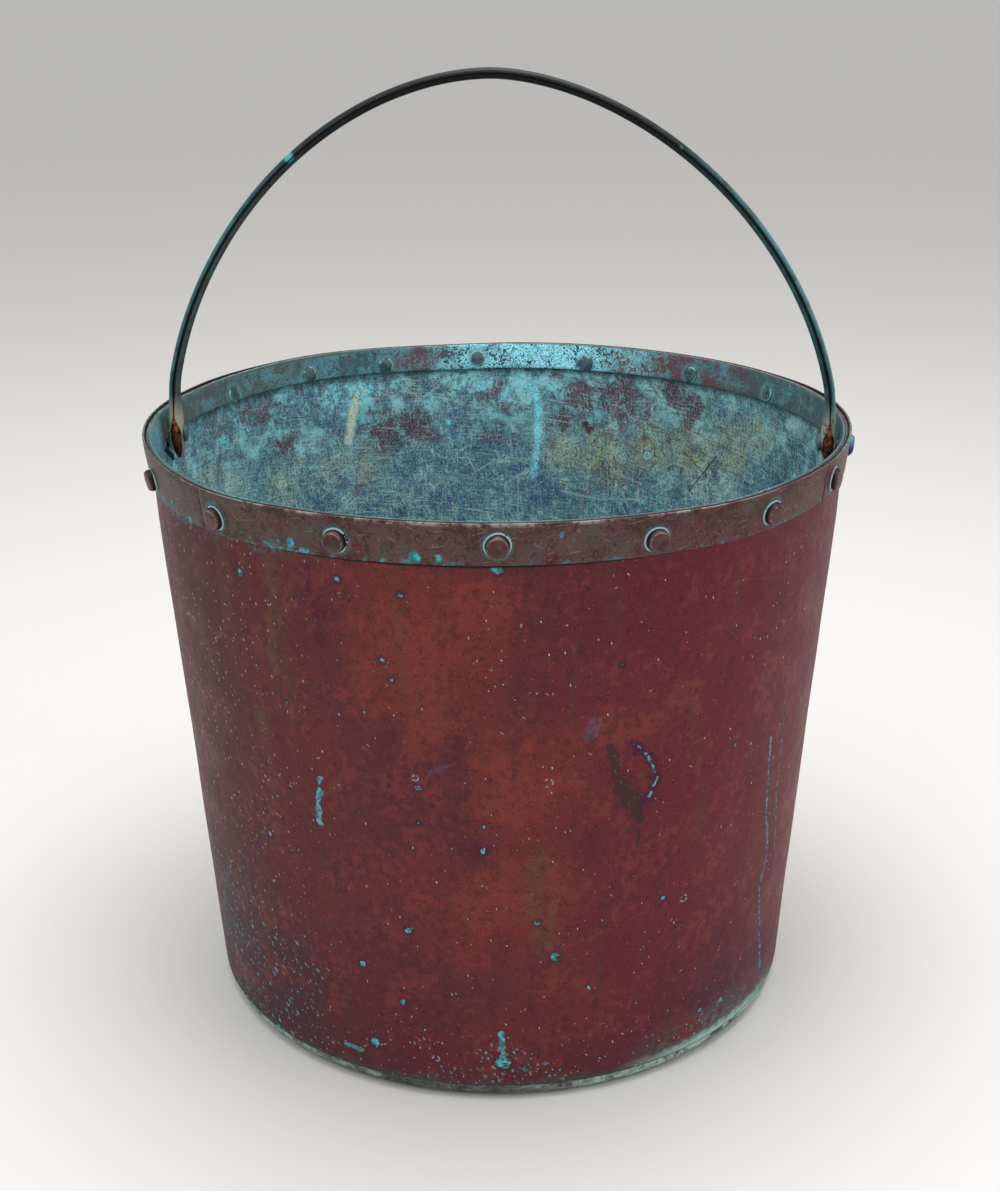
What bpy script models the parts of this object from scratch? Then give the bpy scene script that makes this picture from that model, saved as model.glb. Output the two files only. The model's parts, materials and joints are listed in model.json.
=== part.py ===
# An old copper bucket with riveted bands round its rim and a swinging bail.
# Metres, +Z up. X runs through the two bail pivots, the front is -Y, and the origin is the middle of the
# foot on the floor. Angles round the bucket are in degrees from the front, growing towards +X.

import math

import bmesh
import bpy
from mathutils import Matrix, Vector

# Body of the bucket: every radius is to the outer face of the wall sheet, unless it says otherwise
rim_radius = 0.2000
rim_height = 0.3380
neck_radius = 0.1950
neck_depth = 0.0210
base_radius = 0.1727
foot_round = 0.0100
rim_pull = 0.0015
pull_height = 0.0480
ear_sharpness = 8

# Sheets
wall_thickness = 0.0012
base_thickness = 0.0015
base_edge_height = 0.0220
band_thickness = 0.0015
inner_band_thickness = 0.0015
seam_gap = 0.0003

# Bands and ear straps, hand cut: where each starts and ends, and its height at both ends
joint_gap = 0.0006
left_strap_front_angle = -43.0
left_strap_back_angle = -131.0
right_strap_front_angle = 64.5
right_strap_back_angle = 128.5
inner_joint_angle = -87.5
inner_joint_gap = 0.0010
front_band_height_left = 0.0225
front_band_height_right = 0.0207
back_band_height = 0.0215
left_strap_height_front = 0.0226
left_strap_height_back = 0.0245
right_strap_height = 0.0200
inner_band_height_front = 0.0195
inner_band_height_back = 0.0150
strap_rise = 0.0012
strap_rise_reach = 24.0
least_below_neck = 0.0010

# Rim rivets, set by hand: the angle of each, and how far its head lies below the rim
front_rivets = (
    (-63.1, 0.0150),
    (-39.4, 0.0132),
    (-17.3, 0.0125),
    (5.4, 0.0108),
    (27.7, 0.0128),
    (48.6, 0.0119),
    (68.3, 0.0119),
)
back_rivets = (
    (124.5, 0.0118),
    (144.4, 0.0118),
    (167.4, 0.0126),
    (189.3, 0.0096),
    (208.2, 0.0116),
    (224.9, 0.0118),
    (244.2, 0.0114),
)
rivet_head_radius = 0.0059
rivet_face_radius = 0.0048
rivet_head_height = 0.0037
rivet_shank_radius = 0.0028
rivet_tail_radius = 0.0050
rivet_tail_height = 0.0010
rivet_clearance = 0.0003
head_gap = 0.0004
head_side_share = 0.55
tail_side_share = 0.45
tail_face_share = 0.70

# Bail, with a leaf shaped eye at each end
pivot_depth = 0.0135
pivot_head_radius = 0.0062
pivot_face_radius = 0.0050
pivot_head_height = 0.0037
pivot_shank_radius = 0.0030
pivot_tail_radius = 0.0046
pivot_tail_height = 0.0011
pivot_hole_clearance = 0.0004
bail_side_gap = 0.0009
bail_rise = 0.2005
bail_fullness = 1.82
bail_set = 0.0019
leg_spread = 0.0029
leg_spread_height = 0.0360
bail_radius = 0.0030
sheath_thickness = 0.0005
sheath_slit = 0.0007
leaf_half_thickness = 0.0044
leaf_half_width = 0.0075
left_leaf_tip = 0.0150
right_leaf_tip = 0.0098
leaf_fade = 0.0260
left_leg_loose = 0.0004
left_leg_loose_height = 0.1200
leaf_opening = 52.0
leaf_open_height = 0.0130
tip_thinning = 0.78
tip_thinning_power = 2.2
tip_narrowing = 0.82
tip_narrowing_power = 1.7
core_eye_half_thickness = 0.0031
core_tip_share = 0.80

# A hole worn through the wall under the left eye, covered from outside by the strap
worn_hole_centre_y = -0.0030
worn_hole_below_rim = 0.0205
worn_hole_outline = (
    (-0.0050, -0.0004),
    (-0.0034, 0.0014),
    (-0.0012, 0.0009),
    (0.0010, 0.0021),
    (0.0036, 0.0011),
    (0.0046, -0.0008),
    (0.0018, -0.0019),
    (-0.0022, -0.0015),
)

# Roundness of the meshes
facets_round_bucket = 72
facets_of_rivet = 10
facets_of_foot_round = 4
facets_of_sheath = 10
facets_of_core = 8
facets_along_bail = 24
stations_below_pivot = (1.0, 0.9, 0.72, 0.5, 0.25)
stations_up_leaf = (0.0, 0.1, 0.2, 0.32, 0.45, 0.6, 0.8, 1.0)

# How far every cutter goes past the sheet that it cuts
cutter_reach = 0.0040

# Heights and depths that follow
neck_height = rim_height - neck_depth
pivot_height = rim_height - pivot_depth
pull_start = rim_height - pull_height
ear_angle = 90.0


# Shape of the wall

def taper_angle():
    return math.atan2(neck_radius - base_radius, neck_height)


def wall_radius(angle, height):
    """Outer face of the wall sheet: a straight taper, flared a little at the rim and drawn in at the ears."""
    if height < neck_height:
        radius = base_radius + (neck_radius - base_radius) * height / neck_height
    else:
        rim = rim_radius - band_thickness - seam_gap
        radius = neck_radius + (rim - neck_radius) * (height - neck_height) / neck_depth
    towards_ear = math.sin(math.radians(angle)) ** ear_sharpness
    up_the_rim = max(0.0, (height - pull_start) / pull_height)
    return radius - rim_pull * towards_ear * up_the_rim


def on_facets(angle):
    """How far in from the true circle the flat between two facet corners lies at this angle."""
    step = 360.0 / facets_round_bucket
    from_middle = (angle % step) - step / 2
    return math.cos(math.radians(step / 2)) / math.cos(math.radians(from_middle))


def direction(angle):
    return Vector((math.sin(math.radians(angle)), -math.cos(math.radians(angle)), 0.0))


def on_wall(angle, height, outwards=0.0):
    """A point this far outside the wall's outer face."""
    place = direction(angle) * (wall_radius(angle, height) + outwards) * on_facets(angle)
    place.z = height
    return place


def wall_normal(angle, height):
    small_angle = 0.5
    small_height = 0.002
    along = on_wall(angle + small_angle, height) - on_wall(angle - small_angle, height)
    up = on_wall(angle, height + small_height) - on_wall(angle, height - small_height)
    return along.cross(up).normalized()


def foot_top():
    """Height at which the rounding of the foot has become the straight taper."""
    return foot_round * (1.0 - math.sin(taper_angle()))


def foot_outline(inwards, last_turn):
    """The underside and the rounding, as (radius, height), this far inside the outer face."""
    centre_radius = wall_radius(0.0, foot_top()) - foot_round * math.cos(taper_angle())
    reach = foot_round - inwards
    points = [(0.0, inwards)]
    for step in range(facets_of_foot_round + 1):
        turn = last_turn * step / facets_of_foot_round
        points.append((centre_radius + reach * math.sin(turn), foot_round - reach * math.cos(turn)))
    return points


# Building meshes

def angles_between(start, end):
    """The facet corners between two angles, with both ends."""
    step = 360.0 / facets_round_bucket
    first = math.floor(start / step) + 1
    angles = [start]
    index = first
    while index * step < end - 0.01:
        if index * step > start + 0.01:
            angles.append(index * step)
        index += 1
    angles.append(end)
    return angles


def revolve(section, angles, closed):
    """A mesh swept round the bucket: section(angle) gives a closed outline of (radius, height) points."""
    mesh = bmesh.new()
    axis_points = {}
    columns = []
    for angle in angles:
        column = []
        for radius, height in section(angle):
            if radius < 1e-6:
                key = round(height, 7)
                if key not in axis_points:
                    axis_points[key] = mesh.verts.new((0.0, 0.0, height))
                column.append(axis_points[key])
                continue
            place = direction(angle) * radius * on_facets(angle)
            place.z = height
            column.append(mesh.verts.new(place))
        columns.append(column)
    count = len(columns)
    for index in range(count if closed else count - 1):
        here = columns[index]
        there = columns[(index + 1) % count]
        for low in range(len(here)):
            high = (low + 1) % len(here)
            corners = []
            for corner in (here[low], here[high], there[high], there[low]):
                if corner not in corners:
                    corners.append(corner)
            if len(corners) > 2:
                mesh.faces.new(corners)
    if not closed:
        mesh.faces.new(columns[0])
        mesh.faces.new(columns[-1])
    bmesh.ops.recalc_face_normals(mesh, faces=mesh.faces)
    return mesh


def turned(profile, sides):
    """A solid turned about +Z: the profile runs up the outside from the lower axis point to the upper one."""
    mesh = bmesh.new()
    bottom = mesh.verts.new((0.0, 0.0, profile[0][1]))
    top = mesh.verts.new((0.0, 0.0, profile[-1][1]))
    rings = []
    for radius, height in profile[1:-1]:
        ring = []
        for side in range(sides):
            turn = 2 * math.pi * (side + 0.5) / sides
            ring.append(mesh.verts.new((radius * math.cos(turn), radius * math.sin(turn), height)))
        rings.append(ring)
    for side in range(sides):
        following = (side + 1) % sides
        mesh.faces.new((bottom, rings[0][following], rings[0][side]))
        mesh.faces.new((top, rings[-1][side], rings[-1][following]))
        for lower, upper in zip(rings, rings[1:]):
            mesh.faces.new((lower[side], lower[following], upper[following], upper[side]))
    bmesh.ops.recalc_face_normals(mesh, faces=mesh.faces)
    return mesh


def lofted(rings):
    """A closed bar through rings of points, with flat ends."""
    mesh = bmesh.new()
    columns = [[mesh.verts.new(point) for point in ring] for ring in rings]
    for here, there in zip(columns, columns[1:]):
        for low in range(len(here)):
            high = (low + 1) % len(here)
            mesh.faces.new((here[low], here[high], there[high], there[low]))
    mesh.faces.new(columns[0])
    mesh.faces.new(columns[-1])
    bmesh.ops.recalc_face_normals(mesh, faces=mesh.faces)
    return mesh


def make_material(name, colour, metallic, roughness):
    material = bpy.data.materials.new(name)
    material.use_nodes = True
    surface = material.node_tree.nodes["Principled BSDF"]
    surface.inputs["Base Color"].default_value = (*colour, 1.0)
    surface.inputs["Metallic"].default_value = metallic
    surface.inputs["Roughness"].default_value = roughness
    material.diffuse_color = (*colour, 1.0)
    return material


def make_data(name, mesh, material, sharp_degrees=30.0):
    data = bpy.data.meshes.new(name)
    mesh.to_mesh(data)
    mesh.free()
    data.shade_smooth()
    data.set_sharp_from_angle(angle=math.radians(sharp_degrees))
    if material:
        data.materials.append(material)
    return data


def make_object(name, data, parent=None):
    piece = bpy.data.objects.new(name, data)
    bpy.context.scene.collection.objects.link(piece)
    piece.parent = parent
    return piece


def make_cutter(name, mesh, parent=None):
    cutter = make_object(name, make_data(name, mesh, None), parent)
    cutter.hide_render = True
    cutter.display_type = "WIRE"
    return cutter


def cut(piece, cutter):
    boolean = piece.modifiers.new(cutter.name, "BOOLEAN")
    boolean.operation = "DIFFERENCE"
    boolean.solver = "EXACT"
    boolean.object = cutter


def clear_scene():
    for old in list(bpy.data.objects):
        bpy.data.objects.remove(old, do_unlink=True)


# The sheets: wall, base, bands and straps

def wall_section(angle):
    heights = (foot_top() + seam_gap, pull_start, neck_height, rim_height)
    outer = [(wall_radius(angle, height), height) for height in heights]
    inner = [(wall_radius(angle, height) - wall_thickness, height) for height in heights]
    return outer + inner[::-1]


def base_section(angle):
    """A dished base, whose edge steps in to stand inside the foot of the wall."""
    outside = wall_thickness + seam_gap
    inside = outside + base_thickness
    step_height = foot_top()
    outer = foot_outline(0.0, math.pi / 2 - taper_angle())
    outer.append((wall_radius(angle, step_height) - outside, step_height))
    outer.append((wall_radius(angle, base_edge_height) - outside, base_edge_height))
    bend = math.acos((foot_round - step_height + base_thickness) / (foot_round - base_thickness))
    inner = foot_outline(base_thickness, bend)
    inner.append((wall_radius(angle, step_height) - inside, step_height))
    inner.append((wall_radius(angle, base_edge_height) - inside, base_edge_height))
    return outer + inner[::-1]


def ease(share):
    """0 below 0, 1 above 1, and a smooth way up between."""
    share = min(1.0, max(0.0, share))
    return share * share * (3.0 - 2.0 * share)


def band_section(angle, height, rise, nearest, thickness):
    """A strip from the rim down: nearest is how far its near face lies outside the wall's outer face."""
    top = rim_height + rise
    bottom = rim_height - height
    heights = (bottom, max(neck_height, bottom + least_below_neck), top)
    outer = [(wall_radius(angle, level) + nearest + thickness, level) for level in heights]
    inner = [(wall_radius(angle, level) + nearest, level) for level in heights]
    return outer + inner[::-1]


def half_gap_angle(gap):
    return math.degrees(gap / 2 / rim_radius)


def make_strip(name, start, end, start_height, end_height, rise, nearest, thickness, gap, material):
    """A band or strap from one angle to the other, its height changing evenly along it."""
    start += half_gap_angle(gap)
    end -= half_gap_angle(gap)

    def section(angle):
        along = (angle - start) / (end - start)
        height = start_height + (end_height - start_height) * along
        risen = rise * ease(min(angle - start, end - angle) / strap_rise_reach)
        return band_section(angle, height, risen, nearest, thickness)

    return make_object(name, make_data(name, revolve(section, angles_between(start, end), False), material))


def make_sheets(outside_copper, inside_copper, band_copper):
    whole_turn = [360.0 * step / facets_round_bucket for step in range(facets_round_bucket)]
    wall = make_object("wall", make_data("wall", revolve(wall_section, whole_turn, True), outside_copper))
    make_object("base", make_data("base", revolve(base_section, whole_turn, True), inside_copper))
    outer_strips = (
        (
            "rim_band_front",
            left_strap_front_angle,
            right_strap_front_angle,
            front_band_height_left,
            front_band_height_right,
            0.0,
        ),
        (
            "rim_band_back",
            right_strap_back_angle,
            left_strap_back_angle + 360.0,
            back_band_height,
            back_band_height,
            0.0,
        ),
        (
            "ear_strap_left",
            left_strap_back_angle,
            left_strap_front_angle,
            left_strap_height_back,
            left_strap_height_front,
            strap_rise,
        ),
        (
            "ear_strap_right",
            right_strap_front_angle,
            right_strap_back_angle,
            right_strap_height,
            right_strap_height,
            strap_rise,
        ),
    )
    sheets = [wall]
    for name, start, end, start_height, end_height, rise in outer_strips:
        strip = make_strip(
            name, start, end, start_height, end_height, rise, seam_gap, band_thickness, joint_gap, band_copper
        )
        sheets.append(strip)
    inner_band = make_strip(
        "inner_band",
        inner_joint_angle,
        inner_joint_angle + 360.0,
        inner_band_height_front,
        inner_band_height_back,
        0.0,
        -wall_thickness - seam_gap - inner_band_thickness,
        inner_band_thickness,
        inner_joint_gap,
        inside_copper,
    )
    sheets.append(inner_band)
    return sheets


# Rivets through the rim

def stack_thickness():
    return band_thickness + seam_gap + wall_thickness + seam_gap + inner_band_thickness


def rivet_frame(angle, depth):
    """Where a rivet sits on the outer face of the band: +Z points outwards."""
    height = rim_height - depth
    place = on_wall(angle, height, seam_gap + band_thickness)
    turn = wall_normal(angle, height).to_track_quat("Z", "Y").to_matrix().to_4x4()
    return Matrix.Translation(place) @ turn


def make_rim_rivets(wall, copper):
    under_head = head_gap
    under_tail = -stack_thickness() - head_gap
    profile = (
        (0.0, under_tail - rivet_tail_height),
        (rivet_tail_radius * tail_face_share, under_tail - rivet_tail_height),
        (rivet_tail_radius, under_tail - rivet_tail_height * tail_side_share),
        (rivet_tail_radius, under_tail),
        (rivet_shank_radius, under_tail),
        (rivet_shank_radius, under_head),
        (rivet_head_radius, under_head),
        (rivet_head_radius, under_head + rivet_head_height * head_side_share),
        (rivet_face_radius, under_head + rivet_head_height),
        (0.0, under_head + rivet_head_height),
    )
    shared = make_data("rim_rivet", turned(profile, facets_of_rivet), copper)
    frames = [rivet_frame(angle, depth) for angle, depth in front_rivets + back_rivets]
    for number, frame in enumerate(frames, start=1):
        rivet = make_object(f"rim_rivet_{number:02d}", shared, wall)
        rivet.matrix_local = frame
    return frames


def rim_holes(frames):
    """One cutter for every hole that the rim rivets pass through."""
    hole = bmesh.new()
    for frame in frames:
        radius = rivet_shank_radius + rivet_clearance
        profile = (
            (0.0, -stack_thickness() - cutter_reach),
            (radius, -stack_thickness() - cutter_reach),
            (radius, cutter_reach),
            (0.0, cutter_reach),
        )
        add_turned(hole, profile, frame)
    return make_cutter("rim_holes", hole)


def add_turned(mesh, profile, frame):
    one = turned(profile, facets_of_rivet)
    one.transform(frame)
    data = bpy.data.meshes.new("one_turned")
    one.to_mesh(data)
    one.free()
    mesh.from_mesh(data)
    bpy.data.meshes.remove(data)


# Pivots, which go from the straps through the bail's eyes

def strap_face():
    """How far out along X the strap's outer face lies at the pivot."""
    return wall_radius(ear_angle, pivot_height) + seam_gap + band_thickness


def strap_slope():
    small = 0.002
    above = wall_radius(ear_angle, pivot_height + small)
    below = wall_radius(ear_angle, pivot_height - small)
    return (above - below) / (2 * small)


def inner_face(height):
    """How far out along X the inner band's inner face lies at this height."""
    return wall_radius(ear_angle, height) - wall_thickness - seam_gap - inner_band_thickness


def eye_centre():
    """The bail's eye clears the inner band at the pivot, and its leg clears the band at the rim."""
    narrowest = min(inner_face(pivot_height), inner_face(rim_height))
    return narrowest - bail_side_gap - leaf_half_thickness


def pivot_frame(side):
    """The frame of a pivot: +Z runs outwards along the joint's axis. Side is 1 for right and -1 for left."""
    turn = Matrix.Rotation(0.0 if side > 0 else math.pi, 4, "Z") @ Matrix.Rotation(math.pi / 2, 4, "Y")
    return Matrix.Translation((0.0, 0.0, pivot_height)) @ turn


def make_pivots(wall, copper):
    head = strap_face() + head_gap
    tail = eye_centre() - leaf_half_thickness - head_gap
    profile = (
        (0.0, tail - pivot_tail_height),
        (pivot_tail_radius * tail_face_share, tail - pivot_tail_height),
        (pivot_tail_radius, tail - pivot_tail_height * tail_side_share),
        (pivot_tail_radius, tail),
        (pivot_shank_radius, tail),
        (pivot_shank_radius, head),
        (pivot_head_radius, head),
        (pivot_head_radius, head + pivot_head_height * head_side_share),
        (pivot_face_radius, head + pivot_head_height),
        (0.0, head + pivot_head_height),
    )
    mesh = turned(profile, facets_of_rivet)
    # The head is hammered down to the slope of the strap. Its local -X points up.
    for corner in mesh.verts:
        if corner.co.z > head - 1e-6:
            corner.co.z -= strap_slope() * corner.co.x
    shared = make_data("pivot_rivet", mesh, copper)
    for name, side in (("pivot_rivet_right", 1), ("pivot_rivet_left", -1)):
        pivot = make_object(name, shared, wall)
        pivot.matrix_local = pivot_frame(side)


def pivot_holes(name, near, far):
    mesh = bmesh.new()
    radius = pivot_shank_radius + pivot_hole_clearance
    profile = ((0.0, near), (radius, near), (radius, far), (0.0, far))
    for side in (1, -1):
        add_turned(mesh, profile, pivot_frame(side))
    return make_cutter(name, mesh)


def worn_hole():
    """A ragged prism across the left side of the wall."""
    outside = wall_radius(-ear_angle, rim_height - worn_hole_below_rim)
    rings = []
    for x in (-outside - cutter_reach, -outside + wall_thickness + cutter_reach):
        ring = []
        for y, z in worn_hole_outline:
            ring.append((x, worn_hole_centre_y + y, rim_height - worn_hole_below_rim + z))
        rings.append(ring)
    return make_cutter("worn_hole", lofted(rings))


# The bail: an iron core in a rolled copper sheath, seam to the front

def leg_rises(tip):
    """Heights along a leg, from the tip of the eye up past the end of the leaf."""
    below = [-tip * share for share in stations_below_pivot]
    above = [leaf_fade * share for share in stations_up_leaf]
    return below + above


def arch_turn(rise):
    """The turn at which the arch stands this high above the pivots."""
    return math.asin((rise / bail_rise) ** (bail_fullness / 2))


def arch_point(turn):
    """A point of the centre line in the plane of the bail. The bail has set a little lower on the right."""
    across = math.copysign(abs(math.cos(turn)) ** (2 / bail_fullness), -math.cos(turn))
    above = abs(math.sin(turn)) ** (2 / bail_fullness)
    settled = bail_set * 1.5 * math.sqrt(3.0) * across * (1.0 - across * across)
    spread = leg_spread * ease(above * bail_rise / leg_spread_height)
    return Vector((across * (eye_centre() + spread), 0.0, above * bail_rise - settled))


def bail_line():
    """Stations along the bail: point, normal away from the middle, height above the pivot, and leg."""
    left = (left_leaf_tip, left_leg_loose)
    right = (right_leaf_tip, 0.0)
    first_turn = arch_turn(leaf_fade)
    arch = []
    for step in range(1, facets_along_bail):
        turn = first_turn + (math.pi - 2 * first_turn) * step / facets_along_bail
        arch.append(arch_station(turn, arch_point(turn).z, left if turn < math.pi / 2 else right))
    return leg_stations(-1, left) + arch + leg_stations(1, right)[::-1]


def leg_stations(side, leg):
    stations = []
    for rise in leg_rises(leg[0]):
        if rise <= 0.0:
            stations.append((Vector((side * eye_centre(), 0.0, rise)), Vector((side, 0.0, 0.0)), rise, leg))
        else:
            turn = arch_turn(rise)
            stations.append(arch_station(math.pi - turn if side > 0 else turn, rise, leg))
    return stations


def arch_station(turn, rise, leg):
    small = 0.002
    along = (arch_point(turn + small) - arch_point(turn - small)).normalized()
    return arch_point(turn), Vector((-along.z, 0.0, along.x)), rise, leg


def swell(rise, fade):
    """1 at the pivot, falling to 0 at this height above it."""
    if rise <= 0.0:
        return 1.0
    return 0.5 + 0.5 * math.cos(math.pi * min(1.0, rise / fade))


def leaf_size(rise, leg):
    """Half thickness across the bail's plane and half width along Y of the sheath's outside."""
    leaf_tip, loose = leg
    rod_radius = bail_radius + loose * swell(rise, left_leg_loose_height)
    thickness = rod_radius + (leaf_half_thickness - rod_radius) * swell(rise, leaf_fade)
    width = rod_radius + (leaf_half_width - rod_radius) * swell(rise, leaf_fade)
    if rise < 0.0:
        towards_tip = -rise / leaf_tip
        thickness = leaf_half_thickness * (1.0 - tip_thinning * towards_tip**tip_thinning_power)
        width = leaf_half_width * (1.0 - tip_narrowing * towards_tip**tip_narrowing_power)
    return thickness, width


def slit_angle(rise):
    """Half of the sheath's open angle, at the front of the section."""
    plain = math.asin(sheath_slit / 2 / bail_radius)
    return plain + (math.radians(leaf_opening) - plain) * swell(rise, leaf_open_height)


def sheath_ring(station):
    point, normal, rise, leg = station
    thickness, width = leaf_size(rise, leg)
    span = math.pi - slit_angle(rise)
    outer = []
    inner = []
    for step in range(facets_of_sheath + 1):
        turn = -span + 2 * span * step / facets_of_sheath
        across = normal * math.sin(turn)
        back = Vector((0.0, math.cos(turn), 0.0))
        outer.append(point + across * thickness + back * width)
        inner.append(point + across * (thickness - sheath_thickness) + back * (width - sheath_thickness))
    return outer + inner[::-1]


def core_ring(station):
    point, normal, rise, leg = station
    thickness, width = leaf_size(rise, leg)
    under_sheath = sheath_thickness + seam_gap
    half_thickness = min(thickness - under_sheath, core_eye_half_thickness)
    half_width = width - under_sheath
    ring = []
    for step in range(facets_of_core):
        turn = 2 * math.pi * step / facets_of_core
        across = normal * math.sin(turn) * half_thickness
        ring.append(point + across + Vector((0.0, math.cos(turn) * half_width, 0.0)))
    return ring


def make_bail(sheath_copper, rusty_iron):
    axis = make_object("bail_axis", None)
    axis.location = (0.0, 0.0, pivot_height)
    line = bail_line()
    core_line = [station for station in line if station[2] > -station[3][0] * core_tip_share]
    sheath_mesh = lofted([sheath_ring(station) for station in line])
    core_mesh = lofted([core_ring(station) for station in core_line])
    sheath = make_object("bail_sheath", make_data("bail_sheath", sheath_mesh, sheath_copper, 50.0), axis)
    core = make_object("bail_core", make_data("bail_core", core_mesh, rusty_iron, 50.0), axis)
    near = eye_centre() - leaf_half_thickness - cutter_reach
    far = eye_centre() + leaf_half_thickness + cutter_reach
    eye_holes = pivot_holes("eye_holes", near, far)
    cut(sheath, eye_holes)
    cut(core, eye_holes)


def main():
    clear_scene()
    outside_copper = make_material("brown_copper", (0.150, 0.045, 0.038), 0.75, 0.45)
    inside_copper = make_material("green_copper", (0.090, 0.190, 0.180), 0.30, 0.70)
    band_copper = make_material("band_copper", (0.135, 0.070, 0.055), 0.70, 0.50)
    rivet_copper = make_material("rivet_copper", (0.120, 0.060, 0.055), 0.80, 0.40)
    sheath_copper = make_material("sheath_copper", (0.030, 0.070, 0.075), 0.50, 0.50)
    rusty_iron = make_material("rusty_iron", (0.220, 0.060, 0.020), 0.20, 0.90)

    sheets = make_sheets(outside_copper, inside_copper, band_copper)
    wall = sheets[0]
    rivet_holes = rim_holes(make_rim_rivets(wall, rivet_copper))
    make_pivots(wall, rivet_copper)
    near = inner_face(pivot_height) - cutter_reach
    through_rim = pivot_holes("pivot_holes", near, strap_face() + cutter_reach)
    for sheet in sheets:
        cut(sheet, rivet_holes)
        cut(sheet, through_rim)
    cut(wall, worn_hole())
    make_bail(sheath_copper, rusty_iron)


main()
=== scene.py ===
import functools
import json
import math
import operator
import random

import bmesh
import bpy
from mathutils import Matrix, Vector, noise


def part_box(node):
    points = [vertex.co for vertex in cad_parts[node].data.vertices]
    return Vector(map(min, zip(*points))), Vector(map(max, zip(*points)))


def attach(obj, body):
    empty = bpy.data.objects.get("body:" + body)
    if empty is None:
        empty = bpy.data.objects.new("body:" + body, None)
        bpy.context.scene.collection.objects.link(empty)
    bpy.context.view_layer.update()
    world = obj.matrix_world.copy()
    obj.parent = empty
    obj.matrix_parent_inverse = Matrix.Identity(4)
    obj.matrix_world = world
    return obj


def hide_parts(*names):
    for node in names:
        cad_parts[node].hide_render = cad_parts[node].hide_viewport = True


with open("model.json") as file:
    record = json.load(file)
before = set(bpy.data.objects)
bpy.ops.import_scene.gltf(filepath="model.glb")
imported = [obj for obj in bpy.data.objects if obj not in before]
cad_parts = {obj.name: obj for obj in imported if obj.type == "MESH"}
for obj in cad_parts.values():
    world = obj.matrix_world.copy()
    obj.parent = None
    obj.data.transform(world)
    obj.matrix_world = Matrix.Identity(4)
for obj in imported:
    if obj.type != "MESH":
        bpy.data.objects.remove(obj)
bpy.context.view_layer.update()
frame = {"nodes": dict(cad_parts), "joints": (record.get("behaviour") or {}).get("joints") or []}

# An old copper bucket: red brown oxide outside, blue green tarnish inside, a riveted rim and a rusty bail.
# Metres, X through the pivots, the front is -Y, and angles run in degrees from the front towards +X.

nodes = frame["nodes"]
pivotHeight = frame["joints"][0]["pos_m"][2]
print("frame is in:", len(nodes), "nodes")


# Where things are on the bucket

bucket = {
    "rimRadius": 0.2000,
    "rimHeight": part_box("wall")[1].z,
    "neckRadius": 0.1950,
    "neckDepth": 0.0210,
    "footRadius": 0.1727,
    "footRound": 0.0100,
    "rimPull": 0.0015,
    "pullHeight": 0.0480,
    "wall": 0.0012,
    "band": 0.0015,
    "gap": 0.0003,
    "endRounding": 0.00025,
    "wallRounding": 0.0003,
    "wallRow": 0.0042,
    "meanRadius": 0.19,
    "stepsRound": 300,
}
rimHeight = bucket["rimHeight"]
neckHeight = rimHeight - bucket["neckDepth"]
footLean = math.atan2(bucket["neckRadius"] - bucket["footRadius"], neckHeight)
footTop = bucket["footRound"] * (1 - math.sin(footLean))

# Hand wear: waves of the rim, each an angle, a reach in degrees and a height, and dents all over
unevenness = {
    "rimWaves": [
        (-40, 13, -0.0013), (43, 12, -0.0011), (-135, 16, 0.0012), (195, 12, -0.0008), (2, 16, 0.0004),
    ],
    "broadDents": 0.0007,
    "broadSize": 0.110,
    "smallDents": 0.00022,
    "smallSize": 0.038,
    "dentShift": 0.0002,
    "pivotAt": 0.195,
    "nearPivot": (0.014, 0.060),
    "waveStart": 0.20,
    "nearFoot": (0.012, 0.060),
}


def between(value, low, high):
    t = min(1, max(0, (value - low) / (high - low)))
    return t * t * (3 - 2 * t)


def outward(angle):
    return Vector((math.sin(math.radians(angle)), -math.cos(math.radians(angle)), 0))


def angleOf(place):
    return math.degrees(math.atan2(place.x, -place.y))


def skinRadius(height):
    # outer face of the wall sheet, before the ears draw it in
    if height < neckHeight:
        return bucket["footRadius"] + (bucket["neckRadius"] - bucket["footRadius"]) * height / neckHeight
    top = bucket["rimRadius"] - bucket["band"] - bucket["gap"]
    return bucket["neckRadius"] + (top - bucket["neckRadius"]) * (height - neckHeight) / bucket["neckDepth"]


def earPull(angle, height):
    up = max(0, (height - rimHeight + bucket["pullHeight"]) / bucket["pullHeight"])
    return bucket["rimPull"] * math.sin(math.radians(angle)) ** 8 * up


def onSkin(angle, height, out=0.0):
    place = outward(angle) * (skinRadius(height) - earPull(angle, height) + out)
    place.z = height
    return place


def settle(place):
    # the small unevenness that every fixed piece shares, so that the pieces stay clear of each other
    angle = angleOf(place)
    mirrored = Vector((abs(place.x), place.y, place.z))
    fromPivot = (mirrored - Vector((unevenness["pivotAt"], 0, pivotHeight))).length
    free = between(fromPivot, *unevenness["nearPivot"])
    lift = 0
    for at, reach, height in unevenness["rimWaves"]:
        apart = (angle - at + 180) % 360 - 180
        lift += height * math.exp(-((apart / reach) ** 2))
    lift *= between(place.z, unevenness["waveStart"], rimHeight)
    dent = noise.noise(place / unevenness["broadSize"]) * unevenness["broadDents"] - unevenness["dentShift"]
    dent += noise.noise(place / unevenness["smallSize"] + Vector((7, 3, 5))) * unevenness["smallDents"]
    dent *= between(place.z, *unevenness["nearFoot"])
    return outward(angle) * dent * free + Vector((0, 0, lift * free))


def onMetal(angle, height, out=0.0):
    place = onSkin(angle, height, out)
    return place + settle(place)


# Finishing a mesh into a piece

def meshData(mesh, name):
    data = bpy.data.meshes.new(name)
    mesh.to_mesh(data)
    mesh.free()
    return data


def linked(name, data):
    made = bpy.data.objects.new(name, data)
    bpy.context.scene.collection.objects.link(made)
    return made


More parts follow.
